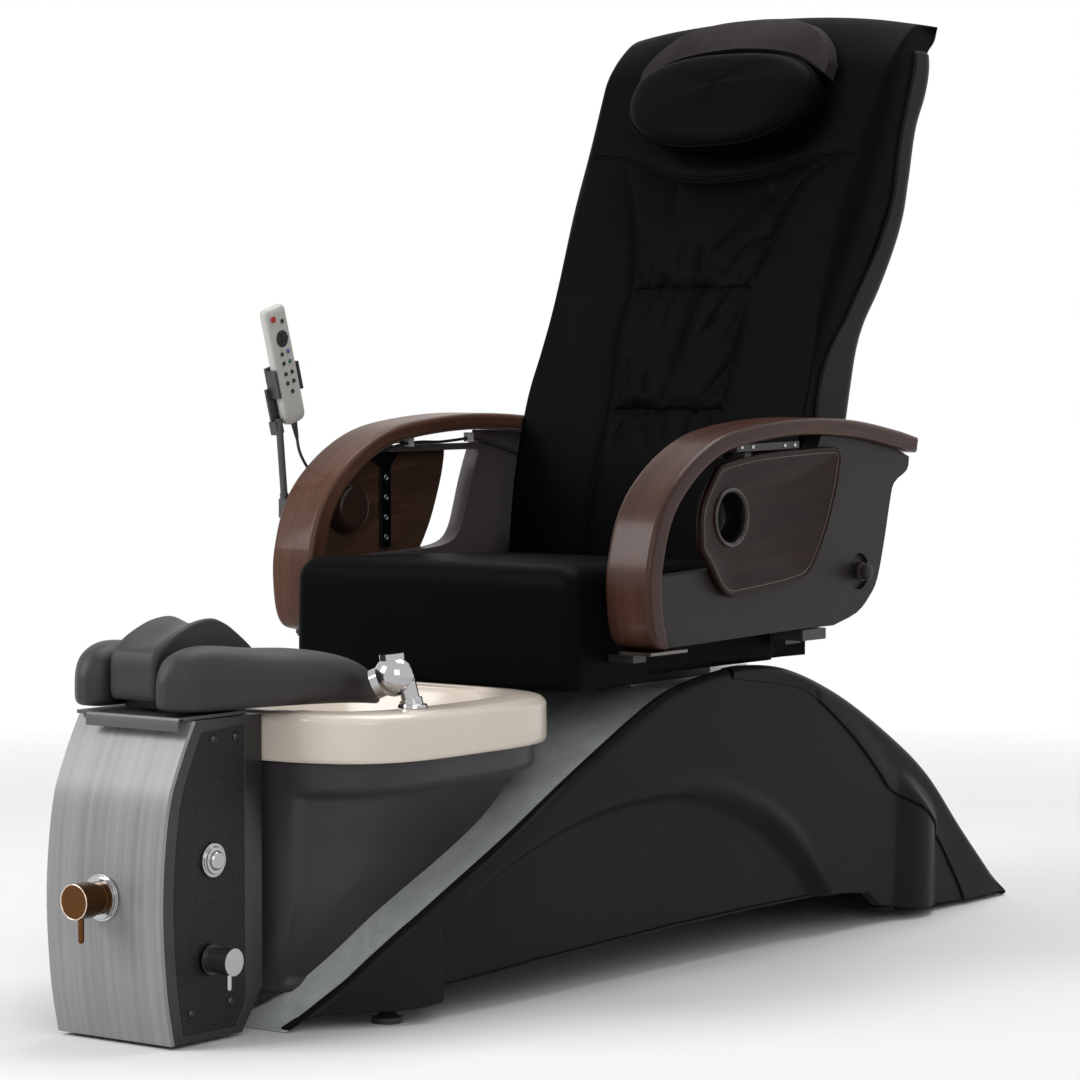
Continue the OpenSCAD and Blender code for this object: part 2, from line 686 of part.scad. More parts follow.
module seat_carriage() {
    color(dark_steel) {
        both_sides() {
            carriage_runner();
            block(rail_x - 20, rail_x + 20, -140, -100, deck_z + 21, 462);
            block(rail_x - 20, rail_x + 20, 200, 302, deck_z + 23, 462);
            block(rail_x - 20, rail_x + 20, 200, runner_rear, deck_z + 21, 430);
            // plate under the front of the arm
            block(rail_x + 19, 290, -140, -110, 448, 460);
            block(266, 300, -156, -76, 460, 465.7);
            block(299, 330, -124, -76, 460, 465.7);
            // rear arm support and the plate that carries the arm's pivot pin
            block(rail_x + 19, 250, 262, 302, 448, 474);
            block(250.3, 276, 262, 302, 448, 474);
            block(270, 320, 240, 302, 456, 472);
            along_x(268.4, 276) polygon([[262, 450], [306, 450], [430, 534], [430, 568], [416, 580],
                                         [384, 580], [366, 568], [336, 520], [262, 474]]);
            rod_x(268.4, panel_in - 0.3, arm_pivot_y, arm_pivot_z, 22);
            rod_x(panel_in - 1, 322, arm_pivot_y, arm_pivot_z, 16);
            // bracket for the back's hinge pin
            difference() {
                along_x(205, 215) polygon([[264, 450], [332, 450], [366, 482], [366, 520], [326, 520],
                                           [308, 474], [264, 474]]);
                rod_x(200, 220, pivot_y, pivot_z, 12.1);
            }
        }
        block(-rail_x + 19, rail_x - 19, -140, -118, 446, 458);
        block(-rail_x + 19, rail_x - 19, 262, 302, 419.5, 431);
        both_sides() difference() {
            block(8, 16, -118.5, -100, 436, 458);
            rod_x(0, 20, -110, 446, 8.1);
        }
    }
}
module seat_pan() {
    color(dark_steel) block(-232, 232, -184, 261.5, 462.3, 475);
}

// ---- upholstery ----

// the seat cushion: crowned, drawn in at its sides, with a seam low on its front
seat_front = -215;
seat_rear = 304;
seat_n = 15;
seat_low = 476;
wall_top = 534;
// crowds the grid's lines towards the edges
function ease(t) = 0.5 - 0.5 * sign(1 - 2 * t) * pow(abs(1 - 2 * t), 0.5);
function seat_side(t) = 1 - pow(abs(2 * t - 1), 3);
function seat_grid(upper) = [for (i = [0 : seat_n - 1]) let (t = i / (seat_n - 1))
    [for (j = [0 : seat_n - 1]) let (s = j / (seat_n - 1),
        pull = 6 * sin(180 * t),
        edge_x = seat_half - pull,
        edge_y0 = seat_front + 5 * sin(180 * s),
        edge = min(seat_side(t), seat_side(s)))
        [mix(-edge_x, edge_x, ease(s)), mix(edge_y0, seat_rear, ease(t)),
         upper ? wall_top + (seat_top - wall_top) * pow(edge, 0.5) * (1 - 0.08 * t)
               : seat_low]]];
module seat_cushion() {
    color(black) skin(seat_grid(true), seat_grid(false));
}
// the upholstered box under the cushion, open at the back
module seat_skirt() {
    out = 247;
    color(black) difference() {
        along_z(411, 475.6) difference() {
            polygon(concat(arc([out - 20, -193], 20, 0, -90, 6),
                           arc([20 - out, -193], 20, -90, -180, 6),
                           [[-out, 300], [-252, 352], [-240, 352], [-235, 300]],
                           [[235, 300], [240, 352], [252, 352], [out, 300]]));
            polygon([[-234, 301], [-234, -188], [-220, -202], [220, -202], [234, -188],
                     [234, 301]]);
        }
        both_sides() block(230, 300, -164, -72, 440, 480);
        both_sides() block(226, 300, 256, 360, 440, 480);
        // clears the side panels' crests
        both_sides() block(234, 300, -62, 360, 400, 422.4);
    }
}

// the front of the back's upholstery at its middle, and its rear, in (Z, Y)
face_mid = [[548, 306], [568, 304], [673, 318], [783, 348], [875, 384], [965, 416], [1072, 458],
            [1160, 499], [1256, 545], [1305, 573], [1345, 612], [back_top - 22, 652], [back_top - 4, 696]];
face_rear = [[548, 352], [568, 352], [673, 372], [769, 400], [875, 446], [966, 494], [1072, 548],
             [1175, 598], [1256, 626], [1305, 650], [1342, 676], [1362, 698], [1374, 706]];
function curve_y(table, z) = lookup(z, table);
function back_width(z) = mix(back_half, shoulder_half, smooth_step((z - 900) / 260))
    - 10 * smooth_step((z - 1290) / 90);
// half the width of the flat front of the back's upholstery
function front_half(z) = lookup(z, [[548, back_half - 2], [783, back_half], [869, 253], [967, 245],
                                    [1104, 242], [1202, 246], [1300, 258], [1372, 262]]);
back_rows = 25;
back_cols = 21;
back_low = 548;
// rows go from the seat to the head; the sewn lines cross the middle panel
function sewn(z, line, wide) = exp(-pow((z - line) / wide, 2));
function panel_half(z) = lookup(z, [[548, 130], [783, 112], [965, 118], [1060, 150], [1160, 190],
                                    [1180, 270], [1400, 275]]);
function back_depth(x, z) =
    let (seam = exp(-pow((abs(x) - panel_half(z)) / 9, 2)) * smooth_step((1176 - z) / 30),
         gathers = (abs(x) < panel_half(z) ? 1 : 0) * (sewn(z, 783, 12) + sewn(z, 965, 12)),
         neck = sewn(z, 1176, 12))
    9 * seam + 10 * gathers + 9 * neck;
side_steps = [[7, 0], [8, 0.32], [9, 0.74], [10, 1]];
side_depths = [[7, 0.03], [8, 0.14], [9, 0.5], [10, 0.95]];
function back_grid(front) = [for (i = [0 : back_rows - 1])
    let (t = i / (back_rows - 1), z0 = mix(back_low, 1372, t), rear = curve_y(face_rear, z0))
    [for (j = [0 : back_cols - 1])
        let (k = abs(j - (back_cols - 1) / 2), side = j < (back_cols - 1) / 2 ? -1 : 1,
             x = k <= 7 ? front_half(z0) * k / 7
                        : mix(front_half(z0), back_width(z0), lookup(k, side_steps)),
             lift = smooth_step((z0 - 1250) / 120) * (back_top - 1372) * (1 - pow(k / 10, 2.5)),
             row = min(1, 3.5 * min(t, 1 - t) + 0.15),
             bolster = 7 * smooth_step((k - 3) / 3),
             face = curve_y(face_mid, z0) - bolster + back_depth(x, z0) * (k < 8 ? 1 : 0),
             y_front = mix(face, rear, lookup(max(7, k), side_depths)) - 0.03 * (rear - face),
             y_rear = rear - 4 + lift * 0.5)
        [side * x, front ? min(y_front, y_rear - 2) + 6 * (1 - row) : y_rear,
         z0 + lift - 16 * smooth_step((z0 - 1290) / 82) * pow(k / 10, 2)]]];
module back_cushion() {
    color(black) skin(back_grid(true), back_grid(false));
}

// an oval head pillow on the front of the head section
pillow_c = [0, 539, 1258];
pillow_tilt = 31;
pillow_rows = 9;
pillow_cols = 15;
function pillow_grid(front) = [for (i = [0 : pillow_rows - 1])
    [for (j = [0 : pillow_cols - 1])
        let (v = 2 * i / (pillow_rows - 1) - 1, u = 2 * j / (pillow_cols - 1) - 1,
             sx = u * sqrt(1 - v * v / 2), sy = v * sqrt(1 - u * u / 2),
             r = min(1, sqrt(sx * sx + sy * sy)))
        [(front ? 166 : 178) * sx, front ? -48 - 24 * pow(1 - pow(r, 3), 0.6) : -1,
         (sy > 0 ? 74 : 92) * sy]]];
module pillow_place() {
    translate(pillow_c) rotate([-pillow_tilt, 0, 0]) children();
}
module head_pillow() {
    color(black) pillow_place() skin(pillow_grid(true), pillow_grid(false));
}
// the grey strap that runs from the pillow's top edge over to the head of the back
strap_low = [[0, 176, 505, 1299], [0.2, 168, 520, 1320], [0.45, 120, 540, 1336],
             [0.75, 55, 552, 1345], [1, 0, 553, 1347]];
strap_high = [[0, 180, 512, 1306], [0.2, 178, 552, 1345], [0.45, 138, 606, 1376],
              [0.75, 64, 632, 1388], [1, 0, 638, 1391]];
function strap_at(table, u) = [for (c = [1 : 3]) lookup(u, [for (r = table) [r[0], r[c]]])];
function under_strap(p, deep) = let (z = p[2] - deep, z0 = z - 20 * smooth_step((z - 1255) / 120))
    [p[0], max(p[1] + 4, curve_y(face_mid, z0) - 9), z];
function strap_grid(under) = [for (i = [0 : 4])
    [for (j = [0 : 16])
        let (u = 1 - abs(j - 8) / 8, side = j < 8 ? -1 : 1,
             p = mix(strap_at(strap_low, u), strap_at(strap_high, u), i / 4),
             arch = 5 * sin(180 * i / 4) * min(1, 2 * u), q = [side * p[0], p[1], p[2] + arch])
        under ? under_strap(q - [0, 0, arch], mix(12, 4, smooth_step(i / 4))) : q]];
module head_band() {
    color([0.30, 0.27, 0.28]) skin(strap_grid(false), strap_grid(true));
}

// ---- back ----

shell_rear = [[478, 418], [540, 428], [620, 440], [700, 456], [775, 477], [815, 487], [875, 504],
              [917, 526], [966, 563], [1027, 597], [1080, 617], [1134, 627], [1211, 646], [1265, 674],
              [1312, 688], [1340, 690]];
shell_front = [[478, 372], [548, 362], [620, 366], [700, 376], [776, 403], [875, 448], [966, 496],
               [1026, 526], [1080, 552], [1134, 579], [1211, 612], [1269, 634], [1312, 659], [1330, 672]];
// the outline of the shell from the side, in (Y, Z)
module shell_outline(inset) {
    rear = spline([for (p = shell_rear) [p[1] - inset, p[0]]], 2);
    front = spline([for (p = shell_front) [p[1] + 0.4, p[0]]], 2);
    polygon(concat(rear, reversed(front)));
}
// the plastic shell behind the cushion: two cheeks and a back wall
module back_shell() {
    color(panel_grey) difference() {
        intersection() {
            along_x(-shoulder_half, shoulder_half) shell_outline(0);
            back_plan(0);
        }
        intersection() {
            along_x(-shoulder_half, shoulder_half) translate([-2, 0]) intersection() {
                polygon(concat([for (p = shell_rear) [p[1] - 6, p[0]]], [[300, 1322], [300, 476]]));
                square([1200, 1322]);
            }
            back_plan(8);
        }
    }
}
module back_plan(inset) {
    side = [for (z = [470 : 40 : 1350]) [back_width(z) - inset, z]];
    along_y(200, 900) polygon(concat(side, reversed([for (p = side) [-p[0], p[1]]])));
}
// the straight line inside the back that carries the frame and the massage gear
spine_foot = [0, 436, 775];
spine_tilt = 23.4;
module spine_place() {
    translate(spine_foot) rotate([-spine_tilt, 0, 0]) children();
}
// the back's steel frame: side tubes, cross bars, hinge ears and the actuator's lever
module back_frame() {
    color(dark_steel) {
        both_sides() {
            spine_place() block(214, 232, -9, 9, -30, 385);
            along_x(218, 230) polygon([[412, 752], [434, 744], [372, 548], [364, 494], [328, 494],
                                       [328, 520], [356, 546]]);
            rod_x(218, 230, pivot_y, pivot_z, 38);
            rod_x(203, 219, pivot_y, pivot_z, 12);
        }
        spine_place() block(-215, 215, -9, 9, -30, -12);
        spine_place() block(-215, 215, -9, 9, 367, 385);
        block(-219, 219, 364, 380, 556, 572);
        // lever under the hinge line
        along_x(-7, 7) polygon([[366, 572], [380, 566], [368, 480], [356, 437], [334, 437], [340, 500]]);
        rod_x(-13, 13, lever_pin_y, lever_pin_z, 10);
    }
}
lever_pin_y = 345;
lever_pin_z = 446;

// the recline actuator under the seat
module actuator_body() {
    color(dark_steel) difference() {
        union() {
            rod_y(0, -86, 190, 446, 30);
            block(-18, 18, -86, -20, 428, 461.5);
            block(-7, 7, -104, -84, 438, 454);
            rod_x(-7, 7, -110, 446, 15.6);
        }
        rod_y(0, -34, 200, 446, 18.1);
    }
    color(steel) rod_x(-17, 17, -110, 446, 8);
}
module actuator_rod() {
    color(steel) {
        rod_y(0, 10, 316, 446, 18);
        difference() {
            both_sides() block(7.6, 12.6, 300, 362, 434, 461);
            block(-20, 20, lever_pin_y - 5.8, lever_pin_y + 5.8, lever_pin_z - 6, lever_pin_z + 13);
        }
        block(-12.6, 12.6, 300, 318, 434, 458);
    }
}

// ---- massage gear inside the back ----

rail_gap = 168;
gear_rest = 60;
module massage_rails() {
    color(steel) spine_place() both_sides() difference() {
        block(rail_gap, rail_gap + 18, -9, 9, -11.7, 366.7);
        block(rail_gap - 1, rail_gap + 13, -5, 5, -12, 367);
    }
}
module massage_carriage() {
    color(dark_steel) spine_place() translate([0, 4, gear_rest]) difference() {
        union() {
            block(-150, 150, -8, 10, -44, -20);
            both_sides() {
                block(120, 150, -9, 10, -44, 44);
                block(149, 166, -8, 0, -40, 40);
                block(165, 179, -8.4, 0.4, -36, 36);
            }
        }
        rod_x(-200, 148, 0, 0, 14.1);
    }
}
module massage_rollers() {
    color(rubber_grey) spine_place() translate([0, 4, gear_rest]) {
        rod_x(-146, 146, 0, 0, 14);
        both_sides() for (x = [42, 78]) {
            rod_x(x, x + 18, 0, 0, 20);
            rod_x(x + 4, x + 14, 0, 0, 23);
        }
    }
}

// ---- arms ----

// the outer edge of an arm's band, in (Y, Z), from its foot to its rear end
band_line = spline([[-124, 466], [-150, 474], [-165, 500], [-171, 552], [-166, 593], [-147, 646],
                    [-112, 690], [-51, 732], [22, 760], [123, 774], [238, 779], [362, 773],
                    [474, 757], [534, 745]], 4);
// the band is thicker down its front than along its top
function band_inner(extra) = [for (i = [0 : len(band_line) - 1])
    let (t = knot(band_line, i + 1) - knot(band_line, i - 1),
         front = 1 - smooth_step((i / (len(band_line) - 1) - 0.3) / 0.35),
         d = extra + band_t + band_front_extra * front,
         p = band_line[i] + d * [t[1], -t[0]] / norm(t)) if (p[0] < 515 && p[1] > 530) p];
module band_outline() {
    polygon(concat(band_line, [[530, 722]], reversed(band_inner(0)), [[-131, 505], [-124, 485]]));
}
module arm_band() {
    color(walnut) difference() {
        along_x(arm_half - band_w, arm_half) band_outline();
        translate([arm_half - band_w - 30, 200, 700]) rotate([0, 0, 3]) cube([30, 400, 100]);
    }
}
module arm_left() {
    arm_band();
}
module arm_right() {
    mirror([1, 0, 0]) arm_band();
}

panel_out = 320;
panel_in = 294;
hinge_x = 329;
tray_hinge_z = 731;
// the grey side panel under the band: a lower rail and a solid rear web
module arm_panel() {
    difference() {
        union() {
            along_x(panel_in, panel_out) difference() {
                polygon(concat(
                    [[-126, 467], [215, 474], [316, 474]],
                    spline([[322, 474], [386, 489], [422, 512], [444, 538], [464, 598], [478, 650],
                            [490, 678], [526, 696], [532, 716]], 3),
                    reversed([for (p = band_inner(0.6)) if (p[0] > 292 && p[0] < 515) p]),
                    spline([[287, 752], [268, 716], [250, 674], [237, 636], [224, 604], [204, 585],
                            [168, 577], [120, 574]], 3),
                    [[-128, 566]]));
                translate([arm_pivot_y, arm_pivot_z]) circle(d = 16.1);
                offset(delta = 0.4) band_outline();
            }
            // hinge ears for the tray, under the band
            for (y = [70, 190])
                block(panel_in, hinge_x + 3, y, y + 16, tray_hinge_z - 8, tray_hinge_z + 1.5);
            block(panel_in, panel_in + 8, 60, 300, tray_hinge_z - 8, tray_hinge_z + 2);
        }
        rod_x(panel_out - 6, panel_out + 4, arm_pivot_y - 8, arm_pivot_z, 54);
        rod_y(hinge_x, 60, 220, tray_hinge_z, 4.1);
    }
}
module arm_panel_left() {
    color(panel_grey) {
        arm_panel();
        arm_knob();
    }
}
module arm_knob() {
    difference() {
        rod_x(panel_out - 6.5, panel_out + 12, arm_pivot_y, arm_pivot_z, 26);
        rod_x(panel_out - 7, panel_out + 3, arm_pivot_y, arm_pivot_z, 16.1);
    }
}
// the right panel has a hole for the handset's cord
module arm_panel_right() {
    difference() {
        mirror([1, 0, 0]) arm_panel_left();
        rod_x(-312, -280, 440, 695.4, cord_d + 3.5);
    }
}

// the folding trays: each a rounded plate with a raised rim and a cup hole
tray_in = 322.5;
tray_out = 334;
cup_z = 643;
cup_d = 80;
left_cup_y = 38;
right_cup_y = -28;
left_tray_line = spline([[-36, 600], [-38, 622], [-38, 642], [-32, 664], [-14, 690], [4, 710],
                         [22, 719], [60, 725], [116, 730.5], [212, 734.5], [298, 736], [317, 733],
                         [324, 722], [320, 700], [311, 670], [287, 617], [255, 570], [236, 553],
                         [213, 545], [138, 537], [60, 531.5], [40, 531], [24, 536], [8, 548],
                         [-14, 576]], 2);
right_tray_line = spline([[-108, 560], [-112, 585], [-109, 610], [-98, 640], [-78, 665], [-50, 687],
                          [-16, 705], [24, 719], [70, 727.5], [120, 732], [172, 734.5], [206, 735],
                          [220, 728], [219, 706], [209, 670], [187, 617], [163, 578], [144, 558],
                          [118, 547], [40, 538], [-40, 531], [-80, 532], [-98, 541]], 2);
module tray_knuckles() {
    for (y = [88, 128, 168]) {
        rod_y(hinge_x, y, y + 20, tray_hinge_z, 7);
        block(tray_in + 1, hinge_x + 3, y, y + 20, tray_hinge_z - 8, tray_hinge_z);
    }
    rod_y(hinge_x, 68, 208, tray_hinge_z, 4);
}
module tray(outline, cup_y, strip_y) {
    color(tray_red) {
        difference() {
            along_x(tray_in, tray_out - 3) polygon(outline);
            rod_x(300, 360, cup_y, cup_z, cup_d - 3.8);
            for (y = [68, 188]) block(300, 360, y, y + 20, tray_hinge_z - 10, tray_hinge_z + 8);
        }
        difference() {
            along_x(tray_out - 4, tray_out) polygon(outline);
            along_x(tray_out - 5, tray_out + 1) polygon(beside(outline, 7));
            for (y = [68, 188]) block(300, 360, y, y + 20, tray_hinge_z - 10, tray_hinge_z + 8);
        }
        tray_knuckles();
        // stiffening strip on the inner face
        block(tray_in - 4.5, tray_in + 0.1, strip_y, strip_y + 22, 578, 702);
    }
}
// the cup holder pressed into a tray: a thin cup whose mouth is on the tray's outer face
module cup_insert(cup_y) {
    color(base_black) translate([298, cup_y, cup_z]) rotate([0, 90, 0]) difference() {
        union() {
            cylinder(d1 = 60, d2 = cup_d - 5, h = 22);
            translate([0, 0, 21.9]) cylinder(d = cup_d - 4.4, h = 12);
            translate([0, 0, tray_out - 300.8]) cylinder(d = cup_d + 4, h = 2);
        }
        translate([0, 0, 2.5]) cylinder(d1 = 56, d2 = cup_d - 9, h = 20);
        translate([0, 0, 22.4]) cylinder(d = cup_d - 9, h = 30);
    }
}
module tray_left() {
    tray(left_tray_line, left_cup_y, 108);
}
module tray_right() {
    mirror([1, 0, 0]) tray(right_tray_line, right_cup_y, 56);
}
module cup_insert_left() {
    cup_insert(left_cup_y);
}
module cup_insert_right() {
    mirror([1, 0, 0]) cup_insert(right_cup_y);
}

// ---- remote control, outside the sitter's right arm ----

remote_x = -346;
remote_lean = 16.5;
handset_foot = [remote_x, -107, 770];
module remote_place() {
    translate(handset_foot) rotate([remote_lean, 0, 0]) children();
}
module handset() {
    half = handset_w / 2;
    color(handset_white) remote_place() difference() {
        union() {
            along_x(-10, 8) polygon(concat(
                arc([half - 12, 12], 12, 0, -90, 6), arc([-half + 12, 12], 12, -90, -180, 6),
                [[-half, handset_l - 10]], arc([-half + 8, handset_l - 8], 8, 180, 90, 5),
                arc([half - 8, handset_l - 8], 8, 90, 0, 5)));
            translate([-1, 0, -9]) cylinder(d1 = 6, d2 = 11, h = 9.5);
        }
        translate([0, -12, handset_l - 16]) rotate([0, 90, 0]) cylinder(d = 9.2, h = 20);
        translate([0, 0, 128]) rotate([0, 90, 0]) cylinder(d = 25, h = 20);
        block(6.4, 20, -17, 17, 14, 104);
    }
}
module power_key() {
    color([0.75, 0.12, 0.10]) remote_place() translate([1, -12, handset_l - 16]) rotate([0, 90, 0])
        cylinder(d = 9, h = 9.5);
}
module direction_pad() {
    color([0.16, 0.16, 0.17]) remote_place() translate([1, 0, 128]) rotate([0, 90, 0]) {
        cylinder(d = 24.84, h = 8);
        for (a = [0 : 90 : 270]) rotate(a) translate([8, 0, 7]) cylinder(d = 7, h = 2.6);
        translate([0, 0, 7]) cylinder(d = 8, h = 3);
    }
}
module keypad() {
    color([0.30, 0.31, 0.31]) remote_place() {
        block(6.5, 7.6, -16.8, 16.8, 14.2, 103.8);
        for (r = [0 : 4]) for (y = [-9, 9]) if (!(r == 0 && y > 0))
            translate([7, y, 26 + 17 * r]) rotate([0, 90, 0]) cylinder(d = 7.5, h = 2.4);
    }
}
// the post and the cradle that grips the handset's back and sides
module remote_holder() {
    color(dark_steel) {
        remote_place() {
            block(-14, -10.3, -handset_w / 2 - 5, handset_w / 2 + 5, 40, 90);
            both_edges() block(-14, 6, handset_w / 2 + 0.4, handset_w / 2 + 5, 44, 86);
            block(-14, -10.4, -36, -8, 4, 60);
            block(-14, -1, -40, -24.4, -8, 12);
        }
        translate([remote_x - 1, -128, 650]) rotate([5.8, 0, 0]) cylinder(d = 10.6, h = 126);
        translate([remote_x - 1, -128, 650]) rotate([5.8, 0, 0]) cylinder(d = 13, h = 16);
        block(remote_x - 6, -arm_half - 0.3, -136, -120, 630, 658);
    }
}

// the handset's cord: down behind the arm, under its band, and into the side panel
cord_route = [[-347, -104.5, 761.3], [-347, -100, 746], [-347, -95, 728], [-347, -84, 711],
              [-345.5, -72, 697], [-341, -63, 690], [-334, -60, 687], [-326, -58.5, 688],
              [-317, -55, 690], [-309, -42, 697], [-302, -16, 708], [-297, 12, 718],
              [-293, 44, 728], [-289.8, 84, 735], [-289, 124, 737],
              [-289, 164, 736], [-289, 204, 738], [-289, 240, 740], [-289, 272, 736], [-289, 316, 727],
              [-289, 362, 716], [-288, 400, 706], [-287.5, 420, 701], [-289.5, 433, 697.5],
              [-295, 440, 695.5], [-301, 441.5, 695]];
function unit(v) = v / norm(v);
module cord_tube(route, d, sides) {
    path = spline(route, 2);
    n = len(path);
    rings = [for (i = [0 : n - 1]) let (t = unit(knot(path, i + 1) - knot(path, i - 1)),
        a = unit(cross(t, [0.3, 0, 1])), b = cross(t, a))
        for (k = [0 : sides - 1]) path[i] + d / 2 * (a * cos(360 * k / sides) + b * sin(360 * k / sides))];
    polyhedron(points = rings, faces = concat(
        [[for (k = [0 : sides - 1]) k]],
        [for (i = [0 : n - 2]) for (k = [0 : sides - 1]) let (m = (k + 1) % sides)
            [i * sides + k, (i + 1) * sides + k, (i + 1) * sides + m]],
        [for (i = [0 : n - 2]) for (k = [0 : sides - 1]) let (m = (k + 1) % sides)
            [i * sides + k, (i + 1) * sides + m, i * sides + m]],
        [[for (k = [sides - 1 : -1 : 0]) (n - 1) * sides + k]]));
}
module handset_cord() {
    color(black) cord_tube(cord_route, cord_d, 8);
}
clip_places = [[90, 735.5, 744], [236, 739.7, 749]];
module cord_clips() {
    color([0.9, 0.9, 0.88]) for (p = clip_places) difference() {
        block(-293.7, -282, p[0] - 5, p[0] + 5, p[1] - 5, p[2]);
        rod_y(-289.5, p[0] - 6, p[0] + 6, p[1], cord_d + 2);
    }
}

base_frame();
side_panel_left();
side_panel_right();
ramp_cover();
rear_cover();
levelling_feet();
tub_shell();
basin();
drain_strainer();
jet_pump();
jet_impeller();
tower_body();
front_panel();
tower_side_left();
tower_side_right();
panel_screws();
mixer_escutcheon();
mixer_valve();
mixer_handle();
button_bezel();
jet_button();
diverter_collar();
diverter_handle();
sprayer_socket();
sprayer_head();
footrest_plate();
footrest_pin();
footrest_bridge();
footrest_pad_left();
footrest_pad_right();
seat_rails();
seat_carriage();
seat_pan();
seat_cushion();
seat_skirt();
actuator_body();
actuator_rod();
back_frame();
back_shell();
back_cushion();
head_pillow();
head_band();
massage_rails();
massage_carriage();
massage_rollers();
arm_left();
arm_panel_left();
tray_left();
cup_insert_left();
arm_right();
arm_panel_right();
tray_right();
cup_insert_right();
remote_holder();
handset();
power_key();
direction_pad();
keypad();
handset_cord();
cord_clips();
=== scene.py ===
"""Looks of a pedicure spa chair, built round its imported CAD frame.

Shapes are written in millimetres in the frame's own axes: X to the sitter's left, Y from the
foot basin towards the back, Z up. Every piece is turned into metres when its mesh is made.
"""
import math

import bmesh
import bpy
import numpy as np
from mathutils import Matrix, Vector


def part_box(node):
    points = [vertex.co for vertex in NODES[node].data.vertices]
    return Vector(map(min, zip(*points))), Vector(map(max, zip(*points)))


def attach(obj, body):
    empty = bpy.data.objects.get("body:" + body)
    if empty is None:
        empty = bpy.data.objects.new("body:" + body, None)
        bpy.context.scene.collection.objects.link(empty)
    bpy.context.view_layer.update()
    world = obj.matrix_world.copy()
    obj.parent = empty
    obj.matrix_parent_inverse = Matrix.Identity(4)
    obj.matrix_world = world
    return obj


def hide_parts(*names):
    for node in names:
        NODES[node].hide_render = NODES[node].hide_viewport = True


MM = 0.001
SIDES = {1: "left", -1: "right"}
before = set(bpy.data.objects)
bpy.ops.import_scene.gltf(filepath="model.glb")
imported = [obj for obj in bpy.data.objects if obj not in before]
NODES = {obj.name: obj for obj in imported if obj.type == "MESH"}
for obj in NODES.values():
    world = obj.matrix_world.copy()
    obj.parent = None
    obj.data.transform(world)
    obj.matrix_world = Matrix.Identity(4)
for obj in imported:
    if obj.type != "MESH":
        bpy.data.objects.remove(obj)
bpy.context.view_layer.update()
SCENE = bpy.context.scene

# ---------------------------------------------------------------- camera and cord

CAMERA_AT = (3.314, -4.395, 0.891)
CAMERA_AZIMUTH = 36.73
CAMERA_PITCH = 3.0
CAMERA_LENS = 127.37
CAMERA_SHIFT = -5 / 1080
SENSOR = 36


def make_camera():
    """The photo's own view."""
    data = bpy.data.cameras.new("camera")
    data.lens = CAMERA_LENS
    data.sensor_width = SENSOR
    data.shift_x = CAMERA_SHIFT
    camera = bpy.data.objects.new("camera", data)
    SCENE.collection.objects.link(camera)
    azimuth, pitch = math.radians(CAMERA_AZIMUTH), math.radians(CAMERA_PITCH)
    forward = Vector((-math.sin(azimuth) * math.cos(pitch), math.cos(azimuth) * math.cos(pitch),
                      -math.sin(pitch)))
    camera.location = CAMERA_AT
    camera.rotation_mode = "QUATERNION"
    camera.rotation_quaternion = forward.to_track_quat("-Z", "Y")
    data.clip_end = 50
    SCENE.camera = camera


make_camera()

# ---------------------------------------------------------------- curves and tables


def knot(points, i):
    """The point at i, or the nearest end."""
    return points[max(0, min(len(points) - 1, i))]


def spline(points, steps):
    """A smooth line through the points, with that many steps from each to the next."""
    points = [np.asarray(p, float) for p in points]
    out = []
    for i in range(len(points) - 1):
        a, b, c, d = (knot(points, i + k) for k in (-1, 0, 1, 2))
        for k in range(steps):
            t = k / steps
            out.append(0.5 * (2 * b + (c - a) * t + (2 * a - 5 * b + 4 * c - d) * t * t
                              + (3 * b - a - 3 * c + d) * t ** 3))
    return np.array(out + [points[-1]])


def around(count):
    """Angles of a closed ring of points."""
    return np.linspace(0, 2 * math.pi, count, endpoint=False)


def arc(start, stop, count):
    """Angles in radians between two given in degrees."""
    return np.radians(np.linspace(start, stop, count))


def rounded(v, power):
    """A sine or cosine drawn towards a square's, with its sign kept."""
    return np.sign(v) * np.abs(v) ** power


def bell(x, width):
    """A soft bump, 1 at its middle."""
    return np.exp(-(x / width) ** 2)


def smooth(t):
    """A soft step from 0 to 1."""
    t = np.clip(t, 0, 1)
    return t * t * (3 - 2 * t)


def mix(a, b, t):
    """From a at t = 0 to b at t = 1."""
    return a + (b - a) * t


def lookup(rows, x):
    """Straight lines between the rows (x, value)."""
    xs, ys = zip(*rows)
    return np.interp(x, xs, ys)


def soft_lookup(rows, x):
    """A smooth curve through the rows (x, value)."""
    line = spline(rows, 12)
    return np.interp(x, line[:, 0], line[:, 1])


def inset(outline, d):
    """A closed outline moved inwards by d."""
    p = np.asarray(outline, float)
    after = np.roll(p, -1, 0)
    area = np.sum(p[:, 0] * after[:, 1] - after[:, 0] * p[:, 1])
    edge = after - p
    edge /= np.maximum(np.linalg.norm(edge, axis=1, keepdims=True), 1e-9)
    side = np.stack([-edge[:, 1], edge[:, 0]], 1) * (1 if area > 0 else -1)
    both = side + np.roll(side, 1, 0)
    both /= np.maximum(np.linalg.norm(both, axis=1, keepdims=True), 1e-9)
    reach = 1 / np.maximum(0.6, np.sum(both * side, 1, keepdims=True))
    return p + d * both * reach


